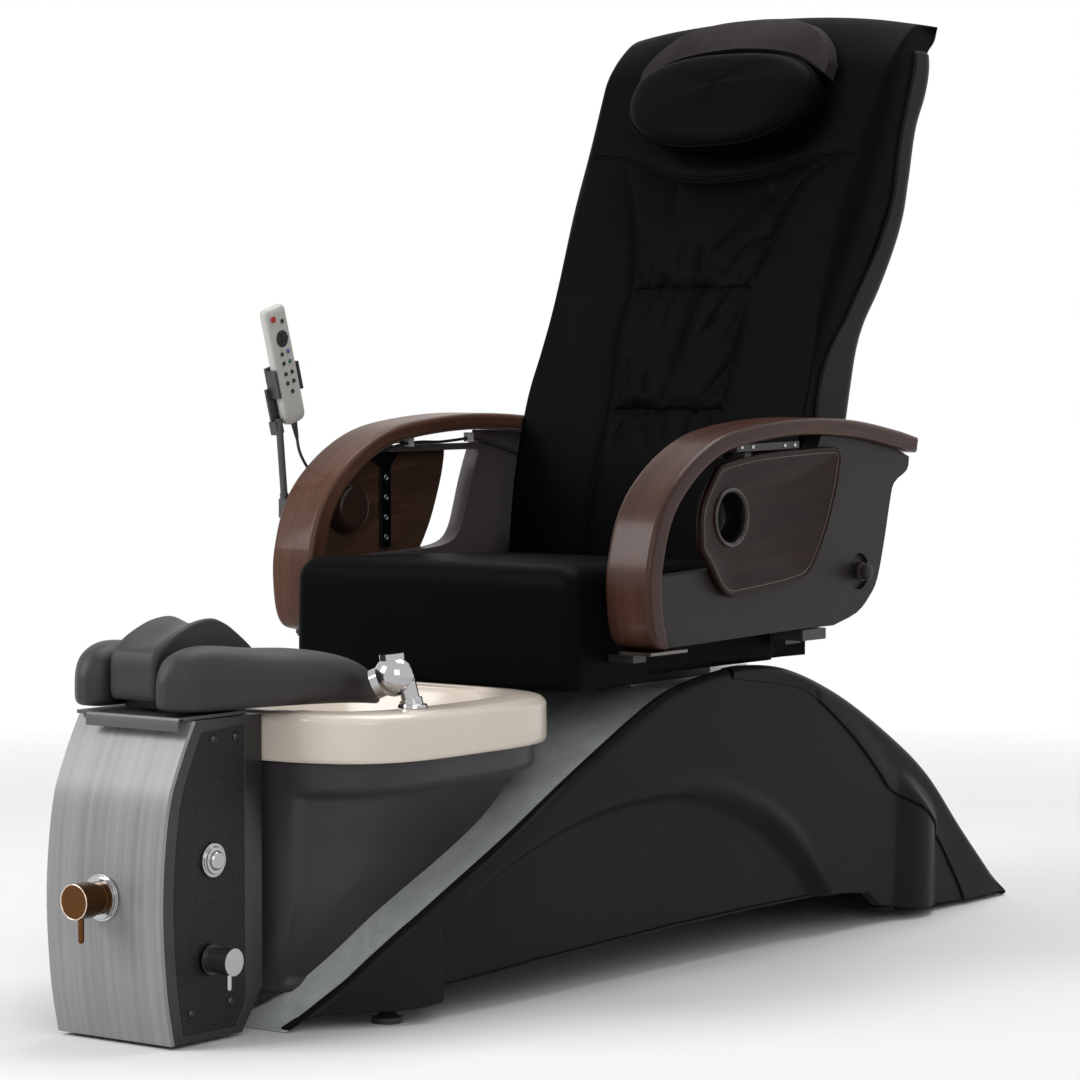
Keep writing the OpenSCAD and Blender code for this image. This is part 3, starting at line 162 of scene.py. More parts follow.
def distance_to(line, y, z):
    """Distance from points (y, z) to a line of points, and how far along it each one is."""
    p = np.stack([np.ravel(y), np.ravel(z)], 1)
    best = np.full(len(p), 1e9)
    along = np.zeros(len(p))
    run = 0.0
    for a, b in zip(line[:-1], line[1:]):
        d = b - a
        size = float(d @ d)
        t = np.clip(((p - a) @ d) / max(size, 1e-9), 0, 1)
        gap = np.linalg.norm(p - (a + t[:, None] * d), axis=1)
        closer = gap < best
        best[closer] = gap[closer]
        along[closer] = run + t[closer] * math.sqrt(size)
        run += math.sqrt(size)
    return best.reshape(np.shape(y)), along.reshape(np.shape(y))


# ---------------------------------------------------------------- meshes


def build(name, points, faces):
    """A smooth-shaded mesh object from points in millimetres."""
    mesh = bpy.data.meshes.new(name)
    mesh.from_pydata((np.asarray(points, float) * MM).tolist(), [],
                     [tuple(int(i) for i in f) for f in faces])
    bm = bmesh.new()
    bm.from_mesh(mesh)
    bmesh.ops.remove_doubles(bm, verts=bm.verts, dist=1e-6)
    bmesh.ops.recalc_face_normals(bm, faces=bm.faces)
    bm.to_mesh(mesh)
    bm.free()
    mesh.polygons.foreach_set("use_smooth", [True] * len(mesh.polygons))
    obj = bpy.data.objects.new(name, mesh)
    SCENE.collection.objects.link(obj)
    return obj


def grid_faces(rows, cols, wrap=False, start=0):
    """Four-sided faces between the points of a grid, whose rows can be closed rings."""
    faces = []
    for i in range(rows - 1):
        for j in range(cols if wrap else cols - 1):
            a, b = start + i * cols + j, start + i * cols + (j + 1) % cols
            faces.append((a, b, b + cols, a + cols))
    return faces


def sheet_of(name, rows):
    """A surface through a grid of points."""
    rows = np.asarray(rows, float)
    return build(name, rows.reshape(-1, 3), grid_faces(rows.shape[0], rows.shape[1]))


def loft(name, rings, caps=(True, True)):
    """A body through closed rings of points."""
    count = len(rings[0])
    faces = grid_faces(len(rings), count, wrap=True)
    if caps[0]:
        faces.append(tuple(range(count))[::-1])
    if caps[1]:
        faces.append(tuple(range((len(rings) - 1) * count, len(rings) * count)))
    return build(name, np.concatenate(rings), faces)


def along_x(outline, x):
    """Points (Y, Z) put at one X."""
    p = np.asarray(outline, float)
    return np.column_stack([np.full(len(p), float(x)), p])


def plate(name, outline, x0, x1, r, steps=4):
    """An outline in (Y, Z) made solid from x0 to x1, with its edges rounded by r."""
    angles = [math.pi / 2 * k / steps for k in range(steps + 1)]
    rings = [along_x(inset(outline, r * (1 - math.sin(a))), x0 + r * (1 - math.cos(a))) for a in angles]
    rings += [along_x(inset(outline, r * (1 - math.sin(a))), x1 - r * (1 - math.cos(a)))
              for a in reversed(angles)]
    return loft(name, rings)


def placed(origin, *turns):
    """A 4x4 from a place in millimetres and turns such as ("X", 57)."""
    m = Matrix.Translation(Vector(origin))
    for axis, degrees in turns:
        m = m @ Matrix.Rotation(math.radians(degrees), 4, axis)
    return m


def moved(points, m):
    """Points carried by a 4x4."""
    m = np.array(m)
    return np.asarray(points, float) @ m[:3, :3].T + m[:3, 3]


def turned(name, profile, m, sides=64, caps=(True, True)):
    """A profile of (radius, height) turned round the local Z axis of m."""
    rings = []
    a = around(sides)
    for r, h in profile:
        rings.append(moved(np.column_stack([r * np.cos(a), r * np.sin(a), np.full(sides, h)]), m))
    return loft(name, rings, caps)


def outward(side, *at):
    """A 4x4 at a place on the sitter's left or right, its Z axis pointing away from the middle."""
    return Matrix.Diagonal((side, 1, 1, 1)) @ placed(at, ("Y", 90))


def superellipse(half_x, y0, y1, power, z, count=160):
    """A level ring between a rectangle and an ellipse."""
    a = around(count)
    x = half_x * rounded(np.cos(a), 2 / power)
    y = (y0 + y1) / 2 + (y1 - y0) / 2 * rounded(np.sin(a), 2 / power)
    return np.column_stack([x, y, np.full(count, float(z))])


def two_sheets(name, front, rear):
    """A body between two equal grids of points, closed round their edges."""
    front, rear = np.array(front), np.array(rear)
    rows, cols = front.shape[:2]
    shift = rows * cols
    faces = grid_faces(rows, cols) + grid_faces(rows, cols, start=shift)
    rim = list(range(cols)) + [i * cols + cols - 1 for i in range(1, rows)]
    rim += [(rows - 1) * cols + j for j in range(cols - 2, -1, -1)]
    rim += [i * cols for i in range(rows - 2, 0, -1)]
    faces += [(a, b, b + shift, a + shift) for a, b in zip(rim, rim[1:] + rim[:1])]
    return build(name, np.concatenate([front.reshape(-1, 3), rear.reshape(-1, 3)]), faces)


# ---------------------------------------------------------------- finishes

FINISHES = {}
MIX_FIRST, MIX_SECOND, MIX_RESULT = 6, 7, 2  # the mix node's sockets for colours


class Finish:
    """A node material whose plain numbers sit on the shader's own sockets."""

    def __init__(self, name, color, roughness, metallic=0.0, coat=0.0, coat_roughness=0.1,
                 sheen=0.0, specular=0.5):
        self.material = bpy.data.materials.new(name)
        self.material.use_nodes = True
        self.tree = self.material.node_tree
        self.shader = self.tree.nodes["Principled BSDF"]
        self.set("Base Color", (*color, 1))
        self.set("Roughness", roughness)
        self.set("Metallic", metallic)
        self.set("Coat Weight", coat)
        self.set("Coat Roughness", coat_roughness)
        self.set("Sheen Weight", sheen)
        self.set("Specular IOR Level", specular)
        FINISHES[name] = self

    def set(self, socket, value):
        self.shader.inputs[socket].default_value = value

    def node(self, kind, **inputs):
        n = self.tree.nodes.new(kind)
        for key, value in inputs.items():
            n.inputs[key.replace("_", " ")].default_value = value
        return n

    def join(self, a, out, b, into):
        self.tree.links.new(a.outputs[out], b.inputs[into])

    def place(self, stretch=(1, 1, 1), attribute=None):
        """Object coordinates, or an attribute, with each axis stretched."""
        if attribute:
            source = self.node("ShaderNodeAttribute")
            source.attribute_name = attribute
            out = "Vector"
        else:
            source = self.node("ShaderNodeTexCoord")
            out = "Object"
        scale = self.node("ShaderNodeMapping")
        scale.inputs["Scale"].default_value = stretch
        self.join(source, out, scale, "Vector")
        return scale

    def noise(self, scale, detail=4.0, roughness=0.5, stretch=(1, 1, 1), attribute=None,
              distortion=0.0):
        n = self.node("ShaderNodeTexNoise", Scale=scale, Detail=detail, Roughness=roughness,
                      Distortion=distortion)
        self.join(self.place(stretch, attribute), "Vector", n, "Vector")
        return n

    def cells(self, scale, feature="DISTANCE_TO_EDGE"):
        n = self.node("ShaderNodeTexVoronoi", Scale=scale)
        n.feature = feature
        self.join(self.place(), "Vector", n, "Vector")
        return n

    def ramp(self, source, out, stops):
        n = self.node("ShaderNodeValToRGB")
        while len(n.color_ramp.elements) < len(stops):
            n.color_ramp.elements.new(0.5)
        for element, (place, color) in zip(n.color_ramp.elements, stops):
            element.position = place
            element.color = (*color, 1) if hasattr(color, "__len__") else (color, color, color, 1)
        self.join(source, out, n, "Fac")
        return n

    def paint_between(self, source, low, high):
        """A base colour that drifts between two tones with a noise."""
        tones = self.ramp(source, "Fac", [(0.3, low), (0.7, high)])
        self.join(tones, "Color", self.shader, "Base Color")

    def paint_over(self, share, color, lines):
        """A base colour darkened in part by a second pattern."""
        n = self.node("ShaderNodeMix")
        n.data_type = "RGBA"
        n.blend_type = "MULTIPLY"
        n.inputs[0].default_value = share
        self.join(color, "Color", n, MIX_FIRST)
        self.join(lines, "Color", n, MIX_SECOND)
        self.join(n, MIX_RESULT, self.shader, "Base Color")

    def rough(self, node, out, low, high):
        n = self.node("ShaderNodeMapRange")
        n.inputs["To Min"].default_value = low
        n.inputs["To Max"].default_value = high
        self.join(node, out, n, "Value")
        self.join(n, "Result", self.shader, "Roughness")

    def bump(self, node, out, depth_mm, strength, after=None):
        n = self.node("ShaderNodeBump", Strength=strength, Distance=depth_mm * MM)
        self.join(node, out, n, "Height")
        if after:
            self.join(after, "Normal", n, "Normal")
        self.join(n, "Normal", self.shader, "Normal")
        return n


def shade(color, k):
    """A colour made lighter or darker."""
    return tuple(c * k for c in color)


def make_leather():
    f = Finish("black_leather", (0.0018, 0.0019, 0.0021), 0.50, specular=0.025)
    fine = f.cells(1250)
    soft = f.noise(260, 3, 0.6)
    f.paint_between(f.noise(9, 4, 0.6), (0.0014, 0.0015, 0.0017), (0.0024, 0.0025, 0.0027))
    f.rough(soft, "Fac", 0.42, 0.60)
    first = f.bump(soft, "Fac", 0.12, 0.35)
    f.bump(fine, "Distance", 0.10, 0.45, after=first)


def make_strap():
    f = Finish("grey_strap", (0.023, 0.0185, 0.0185), 0.7, specular=0.05, sheen=0.02)
    weave = f.node("ShaderNodeTexWave", Scale=160, Distortion=0.4)
    f.join(f.place((0.4, 1, 1)), "Vector", weave, "Vector")
    f.paint_between(f.noise(60, 4, 0.6), (0.019, 0.0155, 0.0155), (0.027, 0.022, 0.022))
    f.bump(weave, "Fac", 0.12, 0.4)


def make_wood(name, dark, mid, light, coat, coat_roughness):
    """Lacquered wood whose grain follows the piece's own "grain" attribute."""
    f = Finish(name, mid, 0.38, coat=coat, coat_roughness=coat_roughness, specular=0.08)
    broad = f.noise(1.0, 5, 0.6, (2.2, 26, 26), "grain", 0.6)
    fine = f.noise(1.0, 3, 0.7, (12, 420, 420), "grain", 0.2)
    color = f.ramp(broad, "Fac", [(0.25, dark), (0.5, mid), (0.78, light)])
    pores = f.ramp(fine, "Fac", [(0.38, 0.55), (0.58, 1.0)])
    f.paint_over(0.55, color, pores)
    f.bump(fine, "Fac", 0.02, 0.15)


def make_plastic(name, color, roughness, grain_mm, grain=900, specular=0.5, spread=0.12):
    f = Finish(name, color, roughness, specular=specular, coat_roughness=0.2)
    tone = f.noise(5, 4, 0.6)
    f.paint_between(tone, shade(color, 1 - spread), shade(color, 1 + spread))
    f.rough(tone, "Fac", roughness - 0.04, roughness + 0.05)
    f.bump(f.noise(grain, 2, 0.5), "Fac", grain_mm, 0.35)


def make_pebbled():
    """The tower's side plates: a coarse black sheet with grey flecks."""
    f = Finish("pebbled_black", (0.009, 0.009, 0.0085), 0.5, specular=0.25)
    fleck = f.noise(420, 3, 0.75)
    color = f.ramp(fleck, "Fac", [(0.50, (0.006, 0.006, 0.0055)), (0.62, (0.016, 0.017, 0.015)),
                                  (0.74, (0.085, 0.092, 0.080))])
    f.join(color, "Color", f.shader, "Base Color")
    f.rough(fleck, "Fac", 0.55, 0.38)
    f.bump(f.cells(520, "SMOOTH_F1"), "Distance", 0.5, 0.7)


def make_streaked():
    """The tower's front: a pale grey laminate with upright wood grain."""
    light, mid, dark = (0.285, 0.287, 0.288), (0.238, 0.239, 0.239), (0.190, 0.191, 0.191)
    f = Finish("grey_wood_grain", mid, 0.36, specular=0.4, coat=0.35, coat_roughness=0.3)
    broad = f.noise(1.0, 4, 0.6, (70, 1.2, 0.7))
    fine = f.noise(1.0, 4, 0.75, (560, 6, 3.0))
    color = f.ramp(broad, "Fac", [(0.28, dark), (0.50, mid), (0.70, light)])
    lines = f.ramp(fine, "Fac", [(0.36, 0.80), (0.60, 1.06)])
    f.paint_over(0.8, color, lines)
    f.rough(fine, "Fac", 0.30, 0.42)
    f.bump(fine, "Fac", 0.04, 0.3)


def make_marbled():
    """The ramp between the side panels: grey-green with soft clouds."""
    f = Finish("grey_green_marble", (0.50, 0.53, 0.515), 0.3, coat=0.4, coat_roughness=0.18)
    cloud = f.noise(9, 7, 0.68, distortion=1.6)
    speck = f.noise(240, 3, 0.7)
    color = f.ramp(cloud, "Fac", [(0.25, (0.430, 0.470, 0.452)), (0.5, (0.560, 0.600, 0.582)),
                                  (0.75, (0.700, 0.735, 0.715))])
    dots = f.ramp(speck, "Fac", [(0.35, 0.82), (0.65, 1.05)])
    f.paint_over(0.5, color, dots)


def make_cream():
    f = Finish("cream_acrylic", (0.70, 0.62, 0.53), 0.22, coat=0.3)
    f.paint_between(f.noise(4, 3, 0.5), (0.675, 0.595, 0.505), (0.730, 0.645, 0.555))
    f.bump(f.noise(120, 2, 0.5), "Fac", 0.03, 0.15)


def make_metal(name, color, roughness, streaks=(1, 1, 1), depth=0.01):
    f = Finish(name, color, roughness, metallic=1.0)
    fine = f.noise(300, 3, 0.6, streaks)
    f.rough(fine, "Fac", max(0.02, roughness - 0.04), roughness + 0.06)
    f.bump(fine, "Fac", depth, 0.2)


def make_foam():
    f = Finish("grey_foam", (0.028, 0.0245, 0.0255), 0.50, specular=0.32)
    f.paint_between(f.noise(7, 4, 0.6), (0.024, 0.0205, 0.0215), (0.033, 0.0285, 0.0295))
    fine = f.cells(1500, "F1")
    first = f.bump(f.noise(700, 2, 0.5), "Fac", 0.08, 0.3)
    f.bump(fine, "Distance", 0.06, 0.4, after=first)


# The near arm's band and tray woods are darkened copies, and the far arm's band and tray woods lightened
# copies, of one walnut: painted shade and painted light.
WOODS = {
    "walnut": ((0.026, 0.0100, 0.0066), (0.052, 0.0210, 0.0145), (0.086, 0.038, 0.027), 0.26, 0.22),
    "brown_walnut": ((0.060, 0.026, 0.016), (0.105, 0.048, 0.031), (0.160, 0.080, 0.053), 0.16, 0.08),
    "red_walnut": ((0.008, 0.0030, 0.0024), (0.014, 0.0055, 0.0042), (0.024, 0.0105, 0.0080), 0.1, 0.08),
    "amber_walnut": ((0.062, 0.030, 0.018), (0.105, 0.056, 0.036), (0.150, 0.088, 0.062), 0.2, 0.12)}
# Colour, roughness, depth of the grain in mm, fineness of the grain, specular, spread of the tone.
PLASTICS = {
    # The two arm panels are one plastic, darkened for the near arm and lightened for the far arm: painted
    # shade and painted light.
    "panel_plastic": ((0.022, 0.0175, 0.0175), 0.42, 0.04, 900, 0.16),
    "far_panel_plastic": ((0.085, 0.068, 0.068), 0.42, 0.04, 900, 0.3),
    "shell_plastic": ((0.0066, 0.0048, 0.0046), 0.42, 0.04, 900, 0.09),
    "base_plastic": ((0.0142, 0.0129, 0.0137), 0.36, 0.04, 900, 0.06),
    "tub_plastic": ((0.032, 0.0285, 0.0335), 0.36, 0.03, 900, 0.3),
    "cup_brown": ((0.040, 0.022, 0.016), 0.3, 0.02, 900, 0.3),
    # A much lighter brown than the near tray's wood, for the tray's raised bead: a real raised line whose
    # brightness is a painted highlight.
    "rim_bead": ((0.085, 0.050, 0.041), 0.25, 0.02),
    "dark_ring": ((0.020, 0.014, 0.012), 0.22, 0.02, 900, 0.6),
    "trim_plastic": ((0.014, 0.013, 0.013), 0.30, 0.03),
    "holder_plastic": ((0.045, 0.047, 0.052), 0.42, 0.05),
    "cup_plastic": ((0.0035, 0.0033, 0.0034), 0.3, 0.02, 900, 0.15),
    "handset_plastic": ((0.56, 0.56, 0.53), 0.36, 0.02, 900, 0.3, 0.03),
    "clip_plastic": ((0.66, 0.66, 0.63), 0.4, 0.02, 900, 0.5, 0.05),
    "key_rubber": ((0.018, 0.018, 0.019), 0.55, 0.05),
    "key_red": ((0.42, 0.028, 0.022), 0.45, 0.02, 900, 0.5, 0.06),
    "key_blue": ((0.05, 0.12, 0.30), 0.45, 0.02, 900, 0.5, 0.06),
    "key_teal": ((0.05, 0.16, 0.15), 0.45, 0.02, 900, 0.5, 0.06),
    "cord_rubber": ((0.020, 0.020, 0.021), 0.5, 0.04),
    "frame_paint": ((0.022, 0.022, 0.024), 0.42, 0.06, 500),
    "roller_rubber": ((0.020, 0.020, 0.020), 0.6, 0.08, 600),
    "stippled_steel": ((0.052, 0.047, 0.047), 0.38, 0.35, 420, 0.7)}
METALS = {
    "chrome": ((0.44, 0.44, 0.45), 0.09),
    "warm_chrome": ((0.105, 0.046, 0.016), 0.11),
    # A bright warm metal for the bead on the mixer cap's edge: a painted highlight.
    "rose_chrome": ((0.70, 0.56, 0.47), 0.10),
    "steel": ((0.52, 0.52, 0.53), 0.28, (1, 8, 1), 0.02),
    "dark_steel": ((0.055, 0.050, 0.050), 0.30, (1, 8, 1), 0.02),
    "dark_chrome": ((0.17, 0.150, 0.145), 0.14)}

for make in (make_leather, make_strap, make_pebbled, make_streaked, make_marbled, make_cream, make_foam):
    make()
for make, table in ((make_wood, WOODS), (make_plastic, PLASTICS), (make_metal, METALS)):
    for title, numbers in table.items():
        make(title, *numbers)


def dress(obj, finish):
    """Gives an object one finish."""
    obj.data.materials.clear()
    obj.data.materials.append(FINISHES[finish].material)
    return obj


def rigid(obj, sharp=38):
    """Keeps flat faces flat and rounded edges smooth."""
    obj.data.set_sharp_from_angle(angle=math.radians(sharp))
    weights = obj.modifiers.new("normals", "WEIGHTED_NORMAL")
    weights.keep_sharp = True
    return obj


def piece(obj, body, finish, stands_for=()):
    """Gives a new piece its finish, the body that it rides on and the CAD nodes it shows."""
    dress(obj, finish)
    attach(obj, body)
    if stands_for:
        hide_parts(*stands_for)
    return obj


def grain_along(obj, line, across=(1, 0, 0)):
    """Stores the wood's own directions: along the line in (Y, Z), across it and outwards."""
    co = np.array([v.co for v in obj.data.vertices]) / MM
    gap, run = distance_to(np.asarray(line, float), co[:, 1], co[:, 2])
    values = np.column_stack([run, co @ np.array(across, float), gap]) * MM
    attribute = obj.data.attributes.new("grain", "FLOAT_VECTOR", "POINT")
    attribute.data.foreach_set("vector", values.astype(np.float32).ravel())


WELD = 0.00002
FLAT_ANGLE, CREASE_ANGLE = math.radians(0.6), math.radians(34)


def keep(node, finish, bevel_mm, sharp=30, dissolve=True, round_form=False):
    """A CAD node that stays as it is, with rounded edges and a real finish."""
    obj = NODES[node]
    weld = obj.modifiers.new("weld", "WELD")
    weld.merge_threshold = WELD
    if dissolve:
        flat = obj.modifiers.new("flat", "DECIMATE")
        flat.decimate_type = "DISSOLVE"
        flat.angle_limit = FLAT_ANGLE
    if bevel_mm:
        bevel = obj.modifiers.new("edges", "BEVEL")
        bevel.width = bevel_mm * MM
        bevel.segments = 2
        bevel.limit_method = "ANGLE"
        bevel.angle_limit = math.radians(sharp)
        bevel.use_clamp_overlap = True
    obj.data.polygons.foreach_set("use_smooth", [True] * len(obj.data.polygons))
    if round_form:
        split = obj.modifiers.new("creases", "EDGE_SPLIT")
        split.split_angle = CREASE_ANGLE
    else:
        weights = obj.modifiers.new("normals", "WEIGHTED_NORMAL")
        weights.keep_sharp = False
    return dress(obj, finish)


# ---------------------------------------------------------------- handset cord

CORD_D = 4.5
CORD_ROUTE = [(-347, -104.5, 761.3), (-347, -100, 746), (-347, -95, 728), (-347, -84, 711),
              (-345.5, -72, 697), (-341, -63, 690), (-334, -60, 687), (-326, -58.5, 688), (-317, -55, 690),
              (-309, -42, 697), (-302, -16, 708), (-297, 12, 718), (-293, 44, 728), (-289.8, 84, 735),
              (-289, 124, 737), (-289, 164, 736), (-289, 204, 738), (-289, 240, 740), (-289, 272, 736),
              (-289, 316, 727), (-289, 362, 716), (-288, 400, 706), (-287.5, 420, 701), (-289.5, 433, 697.5),
              (-295, 440, 695.5), (-301, 441.5, 695)]


def make_cord():
    """The handset's cord, from its strain relief to the arm's panel."""
    line = spline(CORD_ROUTE, 4) * MM
    curve = bpy.data.curves.new("handset_lead", "CURVE")
    curve.dimensions = "3D"
    curve.bevel_depth = CORD_D / 2 * MM
    curve.bevel_resolution = 4
    curve.use_fill_caps = True
    path = curve.splines.new("POLY")
    path.points.add(len(line) - 1)
    path.points.foreach_set("co", np.column_stack([line, np.ones(len(line))]).ravel())
    obj = bpy.data.objects.new("handset_lead", curve)
    SCENE.collection.objects.link(obj)
    piece(obj, "right_arm", "cord_rubber", ["handset_cord"])


make_cord()

# ---------------------------------------------------------------- base

PANEL_T = 16
DECK_Z = 398
FLOOR_GAP = 0.5  # nothing of the base reaches lower than this
ARCH = spline([(-690, 2), (-660, 22), (-620, 56), (-578, 98), (-540, 131), (-500, 158), (-451, 185),
               (-346, 238), (-214, 304), (-60, 374), (21, 401), (118, 416), (205, 420), (308, 407),
               (442, 361), (581, 292), (696, 221), (801, 127), (893, 48), (942, 4)], 8)
HOLLOW = spline([(-497, 36), (-496, 122), (-427, 176), (-320, 220), (-176, 254), (-13, 263),
                 (108, 247), (234, 204), (340, 138), (425, 56)], 8)
GROOVE = spline([(150, 404), (208, 397), (311, 381), (377, 356), (472, 294), (542, 236), (575, 206),
                 (642, 174), (715, 121), (775, 54), (805, 14)], 8)
GROOVE_FRONT, GROOVE_END = 150, 805
HOLLOW_FRONT, HOLLOW_END, HOLLOW_DEPTH = -497, 425, 19
COLUMN_Y, COLUMN_HALF = 655, 92  # the bulge at the tail's foot
PLAN = spline([(-690, 134), (-642, 162), (-606, 188), (-559, 217), (-511, 237), (-430, 248),
               (-300, 255), (0, 258), (600, 258), (942, 254)], 8)
LOW = [(-690, 14), (-668, 14), (-647, 20), (-560, 20), (-498, 24), (-497, 38), (-476, 42), (-288, 52),
       (-103, 57), (31, 60), (200, 61), (447, 60), (520, 52), (558, 28), (617, 19), (700, 12),
       (805, 8), (942, 8)]


def arch(y):
    """The height of the base's top edge."""
    return np.interp(y, ARCH[:, 0], ARCH[:, 1])


def plan(y):
    """Half the base's width."""
    return np.interp(y, PLAN[:, 0], PLAN[:, 1])


def low(y):
    """The height of the side panels' lower edge."""
    return np.minimum(lookup(LOW, y), arch(y) - 2)


def groove(y):
    """The height of the line between a side panel and the cover over the tail."""
    return np.where(y < GROOVE_END, np.interp(y, GROOVE[:, 0], GROOVE[:, 1]), 8)


def hollow_share(y, z):
    """How deep a point lies in the panel's arched hollow, from 0 to 1."""
    gap = distance_to(HOLLOW[9:], y, z)[0]
    under = z < np.interp(y, HOLLOW[8:, 0], HOLLOW[8:, 1])
    inside = under & (y > HOLLOW_FRONT) & (y < HOLLOW_END)
    deep = np.where(inside, smooth(gap / 27), 0)
    return np.minimum(deep, smooth((y + 498) / 5))


def lip_share(y, z):
    """The soft ridge along the top of the hollow."""
    gap = distance_to(HOLLOW[9:], y, z)[0]
    return bell(gap - 4, 12) * smooth((y + 500) / 40) * smooth((400 - y) / 120)


def side_x(y, z):
    """Half the width of a side panel at a point of its outer face."""
    x = plan(y) - HOLLOW_DEPTH * hollow_share(y, z) + 4 * lip_share(y, z)
    rise = np.clip((z - low(y)) / np.maximum(arch(y) - low(y), 1), 0, 1)
    x += 4 * np.sin(np.pi * rise) * smooth((arch(y) - 150) / 150)
    span = np.clip(1 - ((y - COLUMN_Y) / COLUMN_HALF) ** 2, 0, None)
    column = (188 + 90 * np.sqrt(span) - plan(y)) * (span > 0)
    x += np.maximum(column, 0) * smooth((212 - z) / 46)
    x += 3 * (bell(y + 530, 26) * smooth((150 - z) / 60))
    covered = smooth((z - groove(y)) / 8) * smooth((y - 149) / 6)
    return x - np.maximum(x - plan(y) + 5.5, 0) * covered


def on_x(x, ys, z):
    """A row of points along Y."""
    return np.column_stack([x, ys, z])


def above_floor(rows):
    """A grid of points with none lower than the gap over the floor."""
    rows = np.array(rows, float)
    rows[..., 2] = np.maximum(rows[..., 2], FLOOR_GAP)
    return rows


def side_panel(side):
    """One side of the base: its outer face, a rounded top edge and short returns inside."""
    ys = np.unique(np.concatenate([np.linspace(-684, 938, 300), [-498.5, -497.5, -496, -494, -492]]))
    drop = np.where(ys > 392, 8.5 * smooth((ys - 392) / 8), 0)
    top = arch(ys) - drop
    bottom = np.minimum(low(ys), top - 2)
    slope = np.cos(np.arctan(np.gradient(arch(ys), ys)))
    fillet = np.minimum(mix(5, 13, smooth((ys + 480) / 420)), (top - bottom) * 0.4)
    inner = plan(ys) - PANEL_T
    rows = [on_x(inner, ys, bottom + 3), on_x(inner, ys, bottom),
            on_x(side_x(ys, bottom + 2) - 2, ys, bottom)]
    for u in np.linspace(0, 1, 84):
        z = bottom + 2 + (top - fillet / slope - bottom - 2) * u
        rows.append(on_x(side_x(ys, z), ys, z))
    for a in arc(12, 90, 8):
        z = top - fillet / slope * (1 - math.sin(a))
        rows.append(on_x(side_x(ys, z) - fillet * (1 - math.cos(a)), ys, z))
    rows += [on_x(inner, ys, top - 0.5), on_x(inner, ys, top - 8)]
    return sheet_of(f"side_shell_{SIDES[side]}", above_floor(rows) * [side, 1, 1])


def rear_cover():
    """The cover over the tail: its top, and flanges that lap the side panels."""
    points, faces = [], []

    def add(rows):
        rows = above_floor(rows)
        start = len(points)
        points.extend(rows.reshape(-1, 3))
        faces.extend(grid_faces(rows.shape[0], rows.shape[1], start=start))

    ys = np.linspace(GROOVE_FRONT, 940, 150)
    edge, top, r = plan(ys), arch(ys), 15.0
    g = np.minimum(groove(ys), top - 3)
    room = np.maximum(top - g, 3)
    fillet = np.minimum(r / np.cos(np.arctan(np.gradient(top, ys))), room * 0.5)
    out = np.maximum(edge, side_x(ys, g - 6)) + 3.5
    out = np.where(room < 30, edge + 2.5, out)
    for side in (-1, 1):
        rows = [on_x(side * (edge - 6), ys, g + 1), on_x(side * (out - 1.5), ys, g)]
        for u in np.linspace(0, 1, 16):
            z = g + 1.5 + (top - fillet - g - 1.5) * u
            rows.append(on_x(side * mix(out, edge + 3.5, smooth(u * room / 60)), ys, z))
        for a in arc(12, 90, 8):
            x = edge + 3.5 - np.minimum(r, room * 0.6) * (1 - math.cos(a))
            rows.append(on_x(side * x, ys, top - fillet * (1 - math.sin(a))))
        for inside, drop in ((19, 0), (20.5, 2.5), (22, 9)):
            rows.append(on_x(side * (edge - inside), ys, top - drop))
        add(rows)
    ys = np.linspace(400, 940, 100)
    add([on_x(s * (plan(ys) - 20.5), ys, arch(ys) - 2.5) for s in np.linspace(-1, 1, 14)])
    ys = np.linspace(292.7, 404, 24)
    deck = np.minimum(DECK_Z, arch(ys) - 7)
    add([on_x(s * (plan(ys) - PANEL_T - 0.6), ys, deck) for s in np.linspace(-1, 1, 10)])
    ys = np.array([938.0, 940.0])
    add([on_x(s * (plan(ys) + 1), ys, [6.0, 1.5]) for s in np.linspace(-1, 1, 10)])
    return build("tail_cover", points, faces)


# ---------------------------------------------------------------- tub and basin

RIM_HALF, RIM_FRONT, RIM_BACK, RIM_Z = 271, -692.6, -217, 414
RAMP_GAP, RAMP_LOW, RAMP_T = 14, 3.0, 2.4  # the ramp's overlap with the tub, lowest height, thickness
PANEL_EDGE = [(42, -49), (68, -51), (117, -55), (187, -57), (255, -62), (300, -67), (352, -70)]
TUB = [(42, 108, -670, -384, 3.0), (94, 137, -674, -350, 3.2), (165, 168, -677, -312, 3.4),
       (236, 186, -679, -262, 3.6), (290, 216, -682, -228, 3.7), (352, 259, -684, -223, 3.8)]


def tub_size(z):
    """Half width, front, back and power of the tub's wall at a height."""
    heights = [row[0] for row in TUB]
    return [sum(np.interp(z + d, heights, [row[k] for row in TUB]) for d in (-18, -9, 0, 9, 18)) / 5
            for k in (1, 2, 3, 4)]


def ramp():
    """The skin between the side panels: it rises beside the tub and closes behind it."""
    ys = np.concatenate([np.linspace(-688, -205, 140), np.linspace(-200, 292, 60)])
    rows = []
    for y in ys:
        z = max(min(float(arch(y)) - 2.5, DECK_Z), RAMP_LOW)
        half, front, back, power = tub_size(z)
        off = abs((y - (front + back) / 2) / ((back - front) / 2))
        wall = half * max(0.0, 1 - off ** power) ** (1 / power)
        edge = float(plan(y)) - 7
        wall = np.clip(wall - RAMP_GAP, 0, edge - 4)
        row = [(mix(wall, edge, k), y, z) for k in np.linspace(0, 1, 12)]
        rows.append([(-x, a, b) for x, a, b in reversed(row)] + row)
    rows = np.array(rows)
    points = rows.reshape(-1, 3)
    cols = rows.shape[1]
    faces = [f for f in grid_faces(rows.shape[0], cols)
             if f[0] % cols != cols // 2 - 1 or points[f[3]][0] > -1e-6]
    obj = build("ramp_skin", points, faces)
    thick = obj.modifiers.new("thick", "SOLIDIFY")
    thick.thickness = RAMP_T * MM
    thick.offset = -1
    return obj


